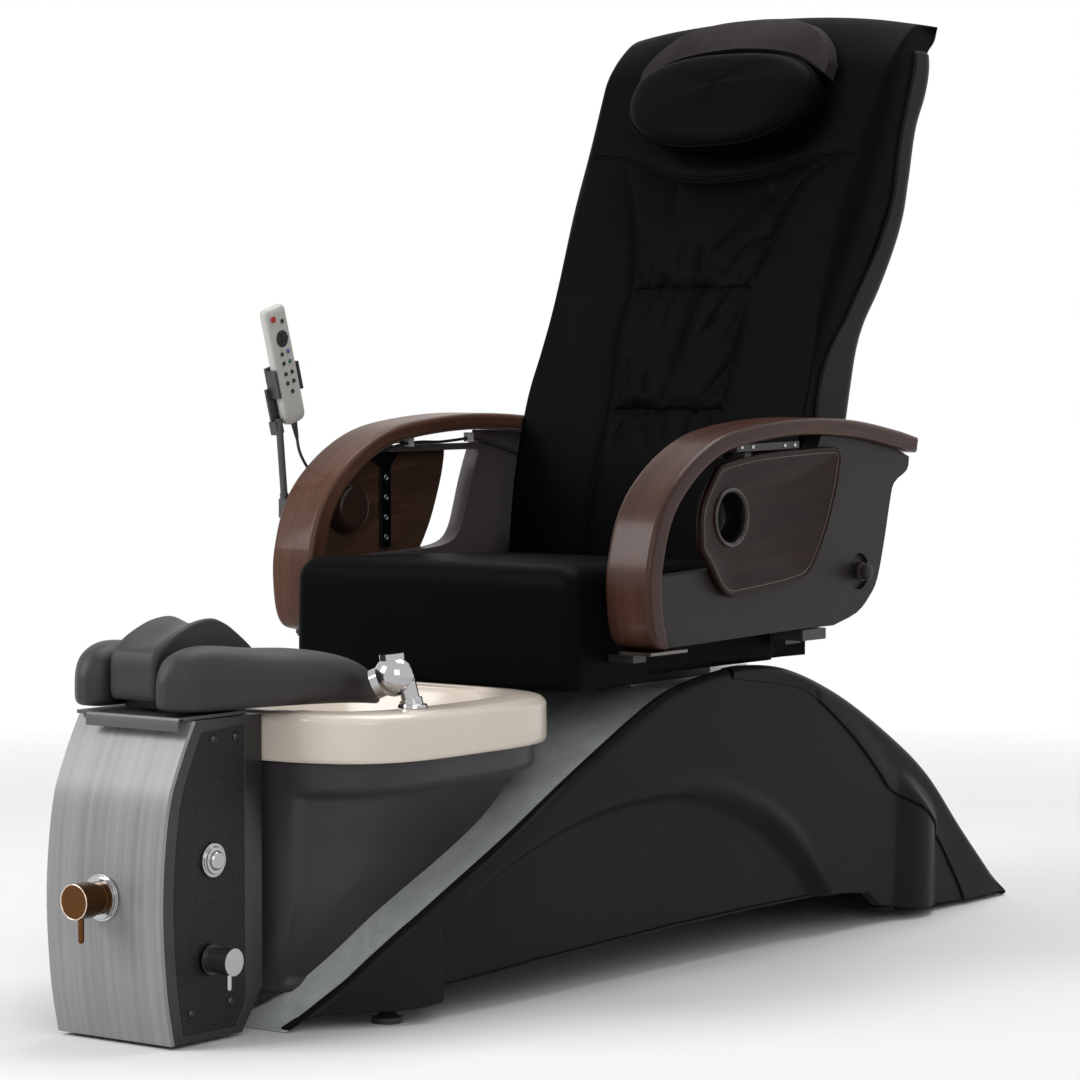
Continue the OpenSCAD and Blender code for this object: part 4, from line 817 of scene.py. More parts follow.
def tub_ring(z):
    """The tub's outer wall: upright under the rim, then drawn in, with a sunk panel on each side."""
    count = 240
    half, front, back, power = tub_size(mix(z, 346, float(smooth((z - 300) / 26))))
    ring = superellipse(half, front, back, power, z, count)
    angle = np.degrees(around(count))
    angle = np.where(angle > 180, angle - 360, angle)
    across = np.where(np.abs(angle) > 90, 180 - np.abs(angle), np.abs(angle)) * np.sign(angle)
    beyond = np.clip((across - lookup(PANEL_EDGE, z)) / 3.2, 0, None)
    below = max(0.0, (313 - z) / 9)
    corner = np.hypot(np.clip(1.6 - beyond, 0, None), max(0.0, 1.6 - below))
    depth = 8.0 * smooth((1.6 - corner) / 1.6) * float(smooth((z - 50) / 14))
    centre = np.array([0, ring[:, 1].mean(), 0])
    away = ring - centre
    away[:, 2] = 0
    away /= np.linalg.norm(away, axis=1, keepdims=True)
    return ring - away * depth[:, None]


def shrunk(ring, y, k):
    """A level ring drawn in towards a point on the middle line."""
    ring = ring.copy()
    ring[:, :2] = (ring[:, :2] - [0, y]) * k + [0, y]
    return ring


def tub():
    """The tub's wall, turned in a little at its foot and closed inwards under the rim."""
    zs = [42, 43.5] + list(np.linspace(46, 300, 52)) + list(np.linspace(303, 350, 20))
    rings = [tub_ring(z) for z in zs]
    rings[0] = shrunk(rings[0], -520, 0.985)
    inner = shrunk(rings[-1], -456, 0.97)
    rings += [inner, inner - [0, 0, 20]]
    return loft("tub_wall", rings, (True, False))


def basin_bowl():
    """The cream basin: a thick rolled rim and a bowl that narrows to a flat floor."""
    outer = [(7, 350), (2.2, 351.5), (0, 358), (0, 372), (0, 386), (0.2, 396)]
    outer += [(14 * (1 - math.cos(a)), 399 + 13.5 * math.sin(a)) for a in arc(8, 82, 9)]
    outer += [(20, RIM_Z - 0.8), (34, RIM_Z), (52, RIM_Z - 0.4)]
    rings = [superellipse(RIM_HALF - d, RIM_FRONT + d * 0.8, RIM_BACK - d * 0.75, 3.8, z)
             for d, z in outer]
    half, front, back, lip_z = 196, -648, -262, 394
    for d, z in [(10, 411.6), (5, 408), (1.5, 402), (0, lip_z)]:
        rings.append(superellipse(half + d, front - d, back + d, mix(3.5, 3.2, (RIM_Z - z) / 20), z))
    low_half, low_front, low_back, low_z = 124, -606, -346, 172
    for t in np.linspace(0.04, 1, 26):
        k = t ** 0.92
        rings.append(superellipse(mix(half, low_half, k), mix(front, low_front, k), mix(back, low_back, k),
                                  mix(3.2, 2.8, k), mix(lip_z, low_z, t)))
    for a in arc(15, 90, 6):
        d = 16 * (1 - math.cos(a))
        rings.append(superellipse(low_half - 6 * math.sin(a) - d * 1.6, low_front + 6 + d * 1.6,
                                  low_back - 6 - d * 1.6, 2.8, low_z - 13.6 * math.sin(a)))
    for k in (0.8, 0.5, 0.25):
        rings.append(superellipse(96 * k, -478 - 104 * k, -478 + 104 * k, 2.4, 158.1))
    return loft("basin_bowl", rings, (False, True))


# ---------------------------------------------------------------- footrest

HINGE_Y, HINGE_Z = -838, 438
PAD_Y0, PAD_Y1 = -853, -488
PAD_INNER = [(0, 58), (0.07, 44), (0.25, 42), (0.45, 44), (0.7, 62), (0.9, 91), (1, 106)]
PAD_OUTER = [(0, 78), (0.07, 101), (0.25, 121), (0.55, 144), (0.8, 154), (0.93, 145), (1, 124)]
PAD_TOP = [(0, 478), (0.03, 486), (0.075, 496), (0.145, 503), (0.235, 503), (0.39, 497), (0.57, 493),
           (0.72, 485), (0.84, 472), (0.93, 452), (1, 421)]
PAD_BLUNT, PAD_TIP = 0.055, 0.05  # the shares of its length in which a pad closes, front and back
PAD_LOW = [(0, 430), (0.07, 422), (0.5, 420.5), (0.8, 417), (1, 410)]


def end_curve(t):
    """A quarter circle's height, from 0 at t = 0 to 1 from t = 1 on."""
    return math.sqrt(max(0, 1 - (1 - min(t, 1)) ** 2))


def foot_pad(side):
    """One foam leaf: domed above, flat below, blunt in front and thin at its tip."""
    rings = []
    count = 64
    a = around(count)
    c, s = np.cos(a), np.sin(a)
    stations = np.concatenate([PAD_BLUNT * (1 - np.cos(np.linspace(0.12, 1, 7) * math.pi / 2)),
                               np.linspace(0.075, 0.94, 44),
                               1 - PAD_TIP * (1 - np.sin(np.linspace(0, 0.93, 6) * math.pi / 2))])
    for t in stations:
        x0, x1 = soft_lookup(PAD_INNER, t), soft_lookup(PAD_OUTER, t)
        z1, z0 = soft_lookup(PAD_TOP, t), soft_lookup(PAD_LOW, t)
        front, back = end_curve(t / PAD_BLUNT), end_curve((1 - t) / PAD_TIP)
        full = mix(0.30, 1, front) * mix(0.35, 1, back)
        xc, half = (x0 + x1) / 2, (x1 - x0) / 2 * mix(0.62, 1, front) * mix(0.5, 1, back)
        zc = mix(z0, z1, 0.36)
        up = np.where(s > 0, (z1 - zc) * full, (zc - z0) * mix(0.7, 1, front))
        power = np.where(s > 0, 2.5, 4.2)
        x = side * (xc + half * rounded(c, 2 / power))
        z = zc + up * rounded(s, 2 / power)
        rings.append(np.column_stack([x, np.full(count, mix(PAD_Y0, PAD_Y1, t)), z]))
    return loft(f"foot_pad_{SIDES[side]}", rings)


def foot_bridge():
    """The raised saddle between the pads."""
    outline = spline([(-829, 434), (-833, 444), (-833, 466), (-832, 484), (-826, 498), (-808, 512),
                      (-784, 524), (-754, 534), (-722, 537), (-700, 531), (-678, 519), (-640, 490),
                      (-612, 458), (-600, 432)], 6)
    half, r, trough = 40.5, 9, 12
    edge = [(-half + r * (1 - math.cos(a)), r * (1 - math.sin(a))) for a in arc(0, 90, 7)]
    stations = edge + [(x, 0) for x in np.linspace(-27, 27, 13)] + [(-x, d) for x, d in reversed(edge)]
    rings = []
    for x, d in stations:
        ring = inset(outline, d)
        dip = trough * (1 - (x / half) ** 2) * smooth((ring[:, 1] - 490) / 40)
        rings.append(along_x(ring - np.column_stack([0 * dip, dip]), x))
    return loft("foot_bridge", rings)


def foot_lug():
    """The bridge's foot, set back under its front."""
    return plate("foot_lug", [(-806, 421.3), (-806, 440), (-690, 440), (-690, 421.3)], -36, 36, 2, 2)


def pin_stub(side):
    """One end of the hinge pin, inside its pad."""
    place = placed((0, HINGE_Y + 4, HINGE_Z), ("Y", 90 * side))
    return turned(f"pin_stub_{SIDES[side]}", [(3, 57), (3, 72)], place, 24)


# ---------------------------------------------------------------- seat

SEAT_HALF, SEAT_FRONT, SEAT_BACK = 250, -225, 300
SKIRT_LOW = 411.8


def seat_ring(half, y0, y1, r, z, count=40):
    """A rounded rectangle at one height."""
    points = []
    corners = [(half - r, y1 - r), (-half + r, y1 - r), (-half + r, y0 + r), (half - r, y0 + r)]
    for k, (x, y) in enumerate(corners):
        start = 90 * k
        points += [(x + r * math.cos(a), y + r * math.sin(a), z) for a in arc(start, start + 90, 9)]
        a = math.radians(start + 90)
        turn = r * np.array([math.cos(a), math.sin(a)])
        p, q = np.array(corners[k]) + turn, np.array(corners[(k + 1) % 4]) + turn
        points += [(*(p + (q - p) * t), z) for t in np.linspace(0, 1, count)[1:-1]]
    return np.array(points)


def seat_slope(y, z):
    """The cushion's top falls towards the back."""
    return (9 - 18 * (y - SEAT_FRONT) / (SEAT_BACK - SEAT_FRONT)) * smooth((z - 500) / 74)


def seat_cushion():
    """A tall-fronted cushion, crowned on top, whose walls run down over the box under it."""
    levels = [(477, 14), (450, 14), (420, 13), (413, 11.5), (SKIRT_LOW, 8), (412.2, 3.5), (414.5, 1.2),
              (420, 0.3), (435, 0), (452, 0), (470, 0), (486, 0), (500, 0), (515, 0.2), (530, 0.6),
              (543, 1.0)]
    levels += [(543 + 31 * math.sin(a), 1.0 + 31 * (1 - math.cos(a))) for a in arc(10, 80, 8)]
    rings = []
    for z, pull in levels:
        corner = 22 - min(pull, 12) * 0.2
        ring = seat_ring(SEAT_HALF - pull, SEAT_FRONT + pull, SEAT_BACK - pull, corner, z)
        waist = np.sin(np.pi * np.clip((ring[:, 1] + 215) / 515, 0, 1))
        ring[:, 0] -= np.sign(ring[:, 0]) * 4 * waist * (np.abs(ring[:, 0]) > 200)
        ripple = np.sin(ring[:, 1] / 13 + 2 * np.sin(ring[:, 1] / 41))
        ring[:, 0] -= np.sign(ring[:, 0]) * 0.8 * bell(z - 486, 9) * ripple
        ring[:, 2] += seat_slope(ring[:, 1], z)
        under_arm = smooth((np.abs(ring[:, 0]) - 224) / 8) * smooth((ring[:, 1] + 72) / 10)
        lift = np.maximum(mix(0, 12, under_arm), 62 * smooth((ring[:, 1] - 258) / 26))
        ring[:, 2] = np.maximum(ring[:, 2], SKIRT_LOW + lift)
        rings.append(ring)
    for k in np.linspace(0.1, 0.97, 16):
        ring = seat_ring((SEAT_HALF - 27) * (1 - k), mix(SEAT_FRONT + 27, 42, k), mix(273, 46, k),
                         20 * (1 - k) + 0.3, 573.8 + 4.0 * math.sin(k * math.pi / 2))
        ring[:, 2] += seat_slope(ring[:, 1], 574)
        rings.append(ring)
    return loft("seat_pad", rings)


def seat_box():
    """The upholstered box inside the cushion's skirt, open at its back."""
    half, front, r = 246, SEAT_FRONT + 4, 20
    path = [(-252, 352), (-half, 300)] + [(-half, y) for y in np.linspace(280, front + r, 30)]
    path += [(-half + r * (1 - math.cos(a)), front + r * (1 - math.sin(a)))
             for a in arc(10, 80, 6)]
    path += [(x, front) for x in np.linspace(-half + r, 0, 20)]
    path = np.array(path)
    path = np.concatenate([path, (path * [-1, 1])[::-1][1:]])
    step = np.gradient(path, axis=0)
    side = np.stack([step[:, 1], -step[:, 0]], 1)
    side /= np.linalg.norm(side, axis=1, keepdims=True)
    rows = []
    section = [(11, 475.2), (1.8, 475.5), (0.2, 474.8), (-0.3, 472), (-0.5, 455), (0.2, 440),
               (0.2, 424), (1.5, 415), (4, SKIRT_LOW), (11, 412)]
    for d, z in section:
        under_arm = smooth((np.abs(path[:, 0]) - 228) / 8) * smooth((path[:, 1] + 72) / 10)
        rows.append(np.column_stack([path - side * d, np.maximum(z, mix(414.5, 426, under_arm))]))
    return sheet_of("seat_box", rows)


# ---------------------------------------------------------------- back

BACK_LOW, BACK_HEAD, BACK_TOP = 548, 1372, 1394
FACE = [(548, 306), (568, 304), (673, 318), (783, 348), (875, 384), (965, 416), (1072, 458),
        (1160, 499), (1256, 545), (1305, 573), (1345, 612), (1372, 652), (1390, 696)]
REAR = [(548, 352), (568, 352), (673, 372), (769, 400), (875, 446), (966, 494), (1072, 548), (1175, 598),
        (1256, 626), (1305, 650), (1342, 676), (1362, 698), (1374, 706)]
FRONT_HALF = [(548, 256), (783, 258), (869, 253), (967, 245), (1104, 242), (1202, 246), (1300, 258),
              (1372, 262)]
SEAM_LEFT = [(548, 126), (600, 123), (785, 106), (874, 106), (967, 110), (1025, 128), (1066, 136),
             (1112, 153), (1150, 181), (1172, 214)]
SEAM_RIGHT = [(548, 126), (600, 123), (783, 104), (892, 118), (969, 111), (1053, 129), (1120, 158),
              (1168, 189), (1180, 200)]
NECK = [(-275, 1178), (-248, 1178), (-192, 1174), (-149, 1161), (-106, 1145), (-60, 1136), (-6, 1133),
        (45, 1136), (85, 1142), (149, 1159), (206, 1168), (275, 1169)]
GATHERS = ((784, 8), (968, 7))
# Each crease is a line in (X, Z), its width and its depth.
CREASES = [
    ([(5, 1027), (17, 974)], 5, 3.0),
    ([(104, 1111), (81, 1073), (30, 1026), (15, 1003), (16, 974)], 11, 5.0),
    ([(131, 1041), (91, 1034), (65, 1002), (48, 973)], 5, 3.6), ([(-56, 987), (-50, 968)], 4, 2.6),
    ([(-57, 965), (-70, 933), (-74, 904)], 5, 2.8), ([(-116, 1005), (-102, 972)], 5, 2.4),
    ([(18, 965), (12, 921), (5, 874), (1, 799)], 7, 5.2), ([(69, 959), (55, 932), (36, 892)], 4.5, 2.6),
    ([(94, 958), (62, 932), (25, 880), (21, 816)], 5.5, 3.2), ([(101, 857), (76, 822), (56, 794)], 4.5, 2.8),
    ([(99, 828), (80, 805), (71, 788)], 4, 2.4), ([(-86, 856), (-68, 798)], 4.5, 3.0),
    ([(-48, 833), (-38, 798)], 4, 3.0), ([(-99, 842), (-94, 792)], 4.5, 2.6),
    ([(-7, 816), (-4, 790)], 4, 2.6),
    ([(-58, 781), (-76, 763), (-83, 742), (-88, 700)], 7, 4.6), ([(-5, 781), (7, 758), (10, 725)], 4.5, 2.8),
    ([(-39, 781), (-23, 746), (-18, 712)], 4.5, 3.0), ([(52, 779), (47, 750), (40, 716)], 4.5, 2.8),
    ([(84, 780), (88, 752), (92, 716)], 5, 2.6), ([(-72, 1130), (-48, 1051)], 14, 2.0),
    ([(-121, 1052), (-93, 1004)], 7, 2.6), ([(36, 1003), (61, 991), (93, 1002)], 6, 2.4),
    ([(-24, 964), (-32, 925), (-30, 880)], 5, 2.4), ([(-92, 962), (-98, 930), (-104, 905)], 4.5, 2.0),
    ([(112, 950), (88, 900), (80, 860)], 7, 1.8), ([(-30, 1040), (-26, 975)], 7, 2.2),
    ([(84, 1000), (88, 974)], 4, 2.2), ([(-80, 1010), (-74, 972)], 5, 2.2)]


def seam_half(x, z):
    """How far the seam beside the middle panel lies from the middle line."""
    return np.where(x >= 0, soft_lookup(SEAM_LEFT, z), soft_lookup(SEAM_RIGHT, z))


def neck_z(x):
    """The height of the piped seam under the head part."""
    return soft_lookup(NECK, x)


def folds(x, z):
    """Creases and puckers of the gathered middle panel, as a depth to push in."""
    depth = np.zeros_like(x)
    for line, width, deep in CREASES:
        gap, run = distance_to(spline(line, 6), x, z)
        length = sum(math.dist(a, b) for a, b in zip(line[:-1], line[1:]))
        fade = smooth((length - run) / (0.6 * length) + 0.1)
        dent = 0.75 * np.exp(-gap / (0.75 * width)) + 0.5 * bell(gap, 2.6 * width)
        depth += 1.5 * deep * fade * dent
    return depth


def back_surface(x, z):
    """How far the face is pushed in at a point, by seams, gathers, folds and the neck's piping."""
    half = seam_half(x, z)
    neck = neck_z(x)
    below = smooth((neck - 2 - z) / 10)
    off = np.abs(x) - half
    seam = bell(off, 3.0) * 3.4 + bell(off, 13.0) * 3.0
    inside = smooth(-off / 10) * below
    gather = np.zeros_like(x)
    for line, width in GATHERS:
        waver = line + 1.6 * np.sin(x / 11.0) + 1.0 * np.sin(x / 4.7 + 1)
        pucker = 0.75 + 0.25 * np.sin(x / 3.6 + np.sin(x / 9))
        gather += 4.4 * bell(z - waver, 2.6) * pucker + 6.5 * bell(z - line, 2.3 * width)
        near = np.exp(-(np.abs(z - waver) / 17))
        ripple = np.sin(x / 4.4 + 1.7 * np.sin(x / 13))
        gather += 0.55 * near * ripple * smooth((np.abs(z - line) - 1) / 6)
    line = bell(z - neck, 2.4) * 3.0 + bell(z - neck, 14) * 4.0
    bead = bell(z - neck - 4.6, 2.2) * 2.6
    soft = 1.4 * np.sin(x / 57 + z / 71) * np.sin(z / 93 - x / 120)
    swell = 5.0 * bell(z - 1070, 60) * inside + 4.0 * bell(z - 876, 55) * inside
    return seam * below + (gather + folds(x, z)) * inside + line - bead - swell + soft


def back_width(z, low, high):
    """Half the back's width: wider above the waist and drawn in towards the head."""
    return mix(low, high, smooth((z - 900) / 260)) - 10 * smooth((z - 1290) / 90)


def back_cushion():
    """The upholstery: a face with seams, gathers and folds, rolled over to a smooth rear."""
    zs = np.concatenate([[BACK_LOW, 549.2, 551.5, 555], np.linspace(560, 1366, 300),
                         [1369, 1371, BACK_HEAD]])
    roll = 1 - 0.28 * (1 - np.cos(np.linspace(0, 1, 22) * math.pi / 2))
    us = np.concatenate([-roll, np.linspace(-0.71, 0.71, 150), roll[::-1]])
    flat = 0.80
    front, rear = [], []
    for z0 in zs:
        face, back = soft_lookup(FACE, z0), soft_lookup(REAR, z0)
        half = soft_lookup(FRONT_HALF, z0)
        full = back_width(z0, 255, 271)
        k = np.abs(us)
        t = np.clip((k - flat) / (1 - flat), 0, 1)
        x = np.where(k < flat, half * k / flat, half + (full - half) * np.sin(t * math.pi / 2) ** 1.2)
        x = x * np.sign(us)
        bolster = 7 * smooth((k - 0.36) / 0.3)
        end = float(np.clip(min(z0 - BACK_LOW, BACK_HEAD - z0) / 12, 0, 1))
        tuck = 10 * (1 - math.sqrt(1 - (1 - end) ** 2))
        lift = smooth((z0 - 1250) / 120) * (BACK_TOP - BACK_HEAD) * (1 - k ** 2.5)
        z = z0 + lift - 16 * smooth((z0 - 1290) / 82) * k ** 2
        y = face - bolster + back_surface(x, z) * smooth((0.84 - k) / 0.08) + tuck
        edge = 1 - np.sqrt(np.clip(1 - t ** 2, 0, 1))
        y_rear = back - 4 + lift * 0.5
        y = np.minimum(mix(y, y_rear, edge * 0.94), y_rear - 1)
        front.append(np.column_stack([x, y, z]))
        rear.append(np.column_stack([x, y_rear, z]))
    return two_sheets("back_pad", front, rear)


# ---------------------------------------------------------------- pillow and strap

PILLOW = placed((0, 541, 1248), ("X", -31))
PILLOW_UP, PILLOW_DOWN = 66, 102
PILLOW_SIDE, PILLOW_END = 0.84, 0.78  # how far from an ellipse its outline is, up and across


def pillow():
    """An oval pillow: a crowned face inside a piped edge, and a soft wall to the back."""
    count = 96
    a = around(count)
    s = np.sin(a)
    high = np.where(s > 0, PILLOW_UP, PILLOW_DOWN)

    def ring(half, tall, y, tuck=0.0):
        x = half * rounded(np.cos(a), PILLOW_END)
        z = tall / 92 * high * rounded(s, PILLOW_SIDE) * np.where(s < 0, 1 - tuck, 1)
        wavy = np.full(count, float(y)) - 0.9 * np.sin(3 * a + y / 7)
        return moved(np.column_stack([x, wavy, z]), PILLOW)

    rings = [ring(*row) for row in [
        (160, 92, 0, 0.22), (165, 94, -8, 0.19), (168, 95, -22, 0.12), (168, 94, -36, 0.05),
        (165.5, 92.4, -45, 0.01), (163.4, 90.8, -48.5), (162.8, 90.3, -50), (161, 89.2, -54),
        (156, 86.2, -58.5), (146, 80, -63.5)]]
    for k in (0.8, 0.66, 0.5, 0.33, 0.16, 0.04):
        rings.append(ring(161 * k, 90 * k, -72.5 + 8.5 * k ** 3 + 2 * k ** 2))
    return loft("head_cushion", rings)


def pillow_piping():
    """The piped cord round the pillow's edge."""
    a = around(96)
    s = np.sin(a)
    x = 164 * rounded(np.cos(a), PILLOW_END)
    z = np.where(s > 0, PILLOW_UP, PILLOW_DOWN) * 0.99 * rounded(s, PILLOW_SIDE)
    line = moved(np.column_stack([x, np.full(96, -49.5), z]), PILLOW)
    return tube("pillow_piping", line, 2.0, closed=True)


def tube(name, points, r, closed=False, sides=10):
    """A round tube along a line of points."""
    p = np.asarray(points, float)
    after, before = (np.roll(p, -1, 0), np.roll(p, 1, 0)) if closed else (
        np.vstack([p[1:], p[-1:]]), np.vstack([p[:1], p[:-1]]))
    t = after - before
    t /= np.linalg.norm(t, axis=1, keepdims=True)
    guide = np.array([0.31, 0.2, 0.93])
    side = np.cross(t, guide)
    side /= np.maximum(np.linalg.norm(side, axis=1, keepdims=True), 1e-9)
    up = np.cross(t, side)
    a = around(sides)
    rings = [p[i] + r * (np.outer(np.cos(a), side[i]) + np.outer(np.sin(a), up[i]))
             for i in range(len(p))]
    if not closed:
        return loft(name, rings)
    points = np.concatenate(rings)
    faces = grid_faces(len(rings), sides, wrap=True)
    last = (len(rings) - 1) * sides
    faces += [(last + j, last + (j + 1) % sides, (j + 1) % sides, j) for j in range(sides)]
    return build(name, points, faces)


STRAP_LOW = [(0, 171, 525, 1296), (0.24, 134, 534, 1318), (0.4, 108, 538, 1328), (0.68, 60, 543, 1337),
             (1, 0, 545, 1341)]
STRAP_HIGH = [(0, 173, 534, 1311), (0.12, 163, 546, 1330), (0.24, 148, 559, 1348), (0.4, 116, 574, 1371),
              (0.68, 66, 602, 1386), (1, 0, 620, 1391)]


def strap_at(rows, u):
    """A point of the strap's edge, from its end (0) to the middle (1)."""
    line = spline(rows, 8)
    return np.array([np.interp(u, line[:, 0], line[:, k]) for k in (1, 2, 3)])


def strap_band():
    """The grey strap over the top of the pillow, arched and softly padded."""
    upper, under = [], []
    for i in range(11):
        t = i / 10
        row, low_row = [], []
        for j in range(61):
            v = j / 30 - 1
            u = 1 - abs(v)
            side = -1 if v < 0 else 1
            p = mix(strap_at(STRAP_LOW, u), strap_at(STRAP_HIGH, u), t)
            puff = 5 * math.sin(math.pi * t) * min(1, 2 * u)
            row.append((side * p[0], p[1], p[2] + puff))
            z = p[2] - mix(12, 4, float(smooth(t)))
            z0 = z - 20 * float(smooth((z - 1255) / 120))
            low_row.append((side * p[0], max(p[1] + 4, float(lookup(FACE, z0)) - 9), z))
        upper.append(row)
        under.append(low_row)
    obj = two_sheets("strap_band", upper, under)
    obj.data.set_sharp_from_angle(angle=math.radians(50))
    return obj


# ---------------------------------------------------------------- shell of the back

SHELL_REAR = [(478, 418), (540, 428), (620, 440), (700, 456), (775, 477), (815, 487), (875, 504),
              (917, 526), (966, 563), (1027, 597), (1080, 617), (1134, 627), (1211, 646), (1265, 674),
              (1312, 688), (1340, 690)]
SHELL_FRONT = [(478, 364), (548, 360), (620, 362), (700, 364), (780, 369), (810, 375), (846, 388),
               (876, 408), (920, 449), (958, 477), (996, 505), (1041, 533), (1102, 559), (1162, 570),
               (1216, 585), (1308, 620), (1335, 632)]


SHELL_LOW, SHELL_TOP = 478, 1331


def back_shell():
    """The plastic tray behind the upholstery: two cheeks that turn softly into a rear wall with a shallow
    sunk middle.
    """
    rings = []
    for z in np.concatenate([[SHELL_LOW, 479.5, 482], np.linspace(486, 1326, 90), [1329, SHELL_TOP]]):
        half = float(back_width(z, 259, 275))
        front, rear = float(soft_lookup(SHELL_FRONT, z)) + 0.5, float(soft_lookup(SHELL_REAR, z))
        end = 3 * (1 - min(1, min(z - SHELL_LOW, SHELL_TOP - z) / 5))
        half -= end
        rear = max(rear - end, front + 4)
        r = min(34.0, (rear - front) * 0.72)
        outer = [(half - 2.5, front), (half, front + 2.5)]
        outer += [(half, y) for y in np.linspace(front + 5, rear - r, 5)]
        outer += [(half - r * 1.15 * (1 - math.cos(a)), rear - r + r * math.sin(a))
                  for a in arc(10, 90, 9)]
        sunk = float(smooth((z - 560) / 30) * smooth((1240 - z) / 30))
        for x in np.linspace(half - r * 1.15 - 4, 0, 22):
            dish = min(6.0 * float(smooth((182 - x) / 14)) * sunk, max(0.0, rear - front - 18))
            outer.append((x, rear - dish))
        inner = [(x, min(y, rear) - 7) for x, y in reversed(outer[7:])]
        inner = [(min(x, half - 9), max(y, front + 1)) for x, y in inner] + [(half - 9, front)]
        ring = [(-x, y) for x, y in outer] + outer[::-1][1:]
        ring += inner[::-1] + [(-x, y) for x, y in inner[1:]]
        rings.append(np.array([(x, y, z) for x, y in ring]))
    return loft("back_tray", rings)


# ---------------------------------------------------------------- arms

ARM_HALF, BAND_W = 338, 76
BAND = spline([(-124, 466), (-150, 474), (-165, 500), (-171, 552), (-166, 593), (-147, 646),
               (-112, 690), (-51, 732), (22, 760), (123, 774), (238, 779), (362, 773),
               (474, 757), (534, 745)], 8)


def band_inner():
    """The band's lower line: thicker towards its front, and ended before the rear pivot."""
    count = len(BAND)
    out = []
    for i in range(count):
        t = BAND[min(count - 1, i + 1)] - BAND[max(0, i - 1)]
        d = 25 + 10 * (1 - float(smooth((i / (count - 1) - 0.3) / 0.35)))
        p = BAND[i] + d * np.array([t[1], -t[0]]) / np.linalg.norm(t)
        if p[0] < 515 and p[1] > 530:
            out.append(p)
    return out


def arm_band(side):
    """The wooden arm: a thick arched band with rounded edges."""
    outline = [tuple(p) for p in BAND] + [(530, 722)] + [tuple(p) for p in band_inner()[::-1]]
    outline += [(-131, 505), (-124, 485)]
    x0, x1 = ARM_HALF - BAND_W, ARM_HALF
    obj = plate(f"arm_{SIDES[side]}_wood", outline, *sorted((side * x0, side * x1)), 8, 6)
    grain_along(obj, BAND)
    return obj


TRAY_IN, TRAY_OUT = 322.5, 334
CUP_X, CUP_Z, CUP_D = 298, 643, 80
HINGE_IN, HINGE_OUT = 318, 326
KNOB_AT = (331, 380, 550)
LEFT_TRAY = spline([(-36, 600), (-38, 622), (-38, 642), (-32, 664), (-14, 690), (4, 710), (22, 719),
                    (60, 725), (116, 730.5), (212, 734.5), (298, 736), (317, 733), (324, 722),
                    (320, 700), (311, 670), (287, 617), (255, 570), (236, 553), (213, 545), (138, 537),
                    (60, 531.5), (40, 531), (24, 536), (8, 548), (-14, 576), (-36, 600)], 6)[:-1]
RIGHT_TRAY = spline([(-108, 560), (-112, 585), (-109, 610), (-98, 640), (-78, 665), (-50, 687),
                     (-16, 705), (24, 719), (70, 727.5), (120, 732), (172, 734.5), (206, 735),
                     (220, 728), (219, 706), (209, 670), (187, 617), (163, 578), (144, 558),
                     (118, 547),
                     (40, 538), (-40, 531), (-80, 532), (-98, 541), (-108, 560)], 6)[:-1]


def rays(outline, centre, count=200):
    """The outline met by rays from a centre, as (Y, Z) points."""
    p = np.asarray(outline, float) - centre
    q = np.roll(p, -1, 0)
    hits = []
    for a in around(count):
        d = np.array([math.cos(a), math.sin(a)])
        best = 0.0
        for u, v in zip(p, q):
            e = v - u
            det = d[0] * -e[1] + d[1] * e[0]
            if abs(det) < 1e-9:
                continue
            t = (u[0] * -e[1] + u[1] * e[0]) / det
            s = (d[0] * u[1] - d[1] * u[0]) / det
            if t > 0 and -1e-6 <= s <= 1 + 1e-6:
                best = max(best, t)
        hits.append(centre + d * best)
    return np.array(hits)


def tray(side, outline, cup_y):
    """A lacquered tray: a rolled rim round a sunk face, with a round hole for the cup."""
    centre = np.array([cup_y, CUP_Z], float)
    edge = rays(outline, centre)
    out = edge - centre
    unit = out / np.linalg.norm(out, axis=1, keepdims=True)
    r, sunk = CUP_D / 2 - 1.6, TRAY_OUT - 3.0

    def hole(r, x):
        return along_x(centre + unit * r, side * x)

    rim = [(3, TRAY_IN), (0.8, TRAY_IN + 0.7), (0, TRAY_IN + 3), (0, TRAY_OUT - 4.5), (0.5, TRAY_OUT - 2.2),
           (1.8, TRAY_OUT - 0.6), (3.4, TRAY_OUT), (5.2, TRAY_OUT - 0.3), (6.8, TRAY_OUT - 1.3),
           (8.0, TRAY_OUT - 2.6), (9.4, sunk)]
    rings = [hole(r, TRAY_IN)] + [along_x(inset(edge, d), side * x) for d, x in rim]
    rings += [hole(r + 9, sunk), hole(r, sunk), hole(r, TRAY_IN)]
    obj = loft(f"tray_{SIDES[side]}_leaf", rings, (False, False))
    grain_along(obj, [(-200, 600), (400, 660)])
    obj.data.set_sharp_from_angle(angle=math.radians(40))
    return obj


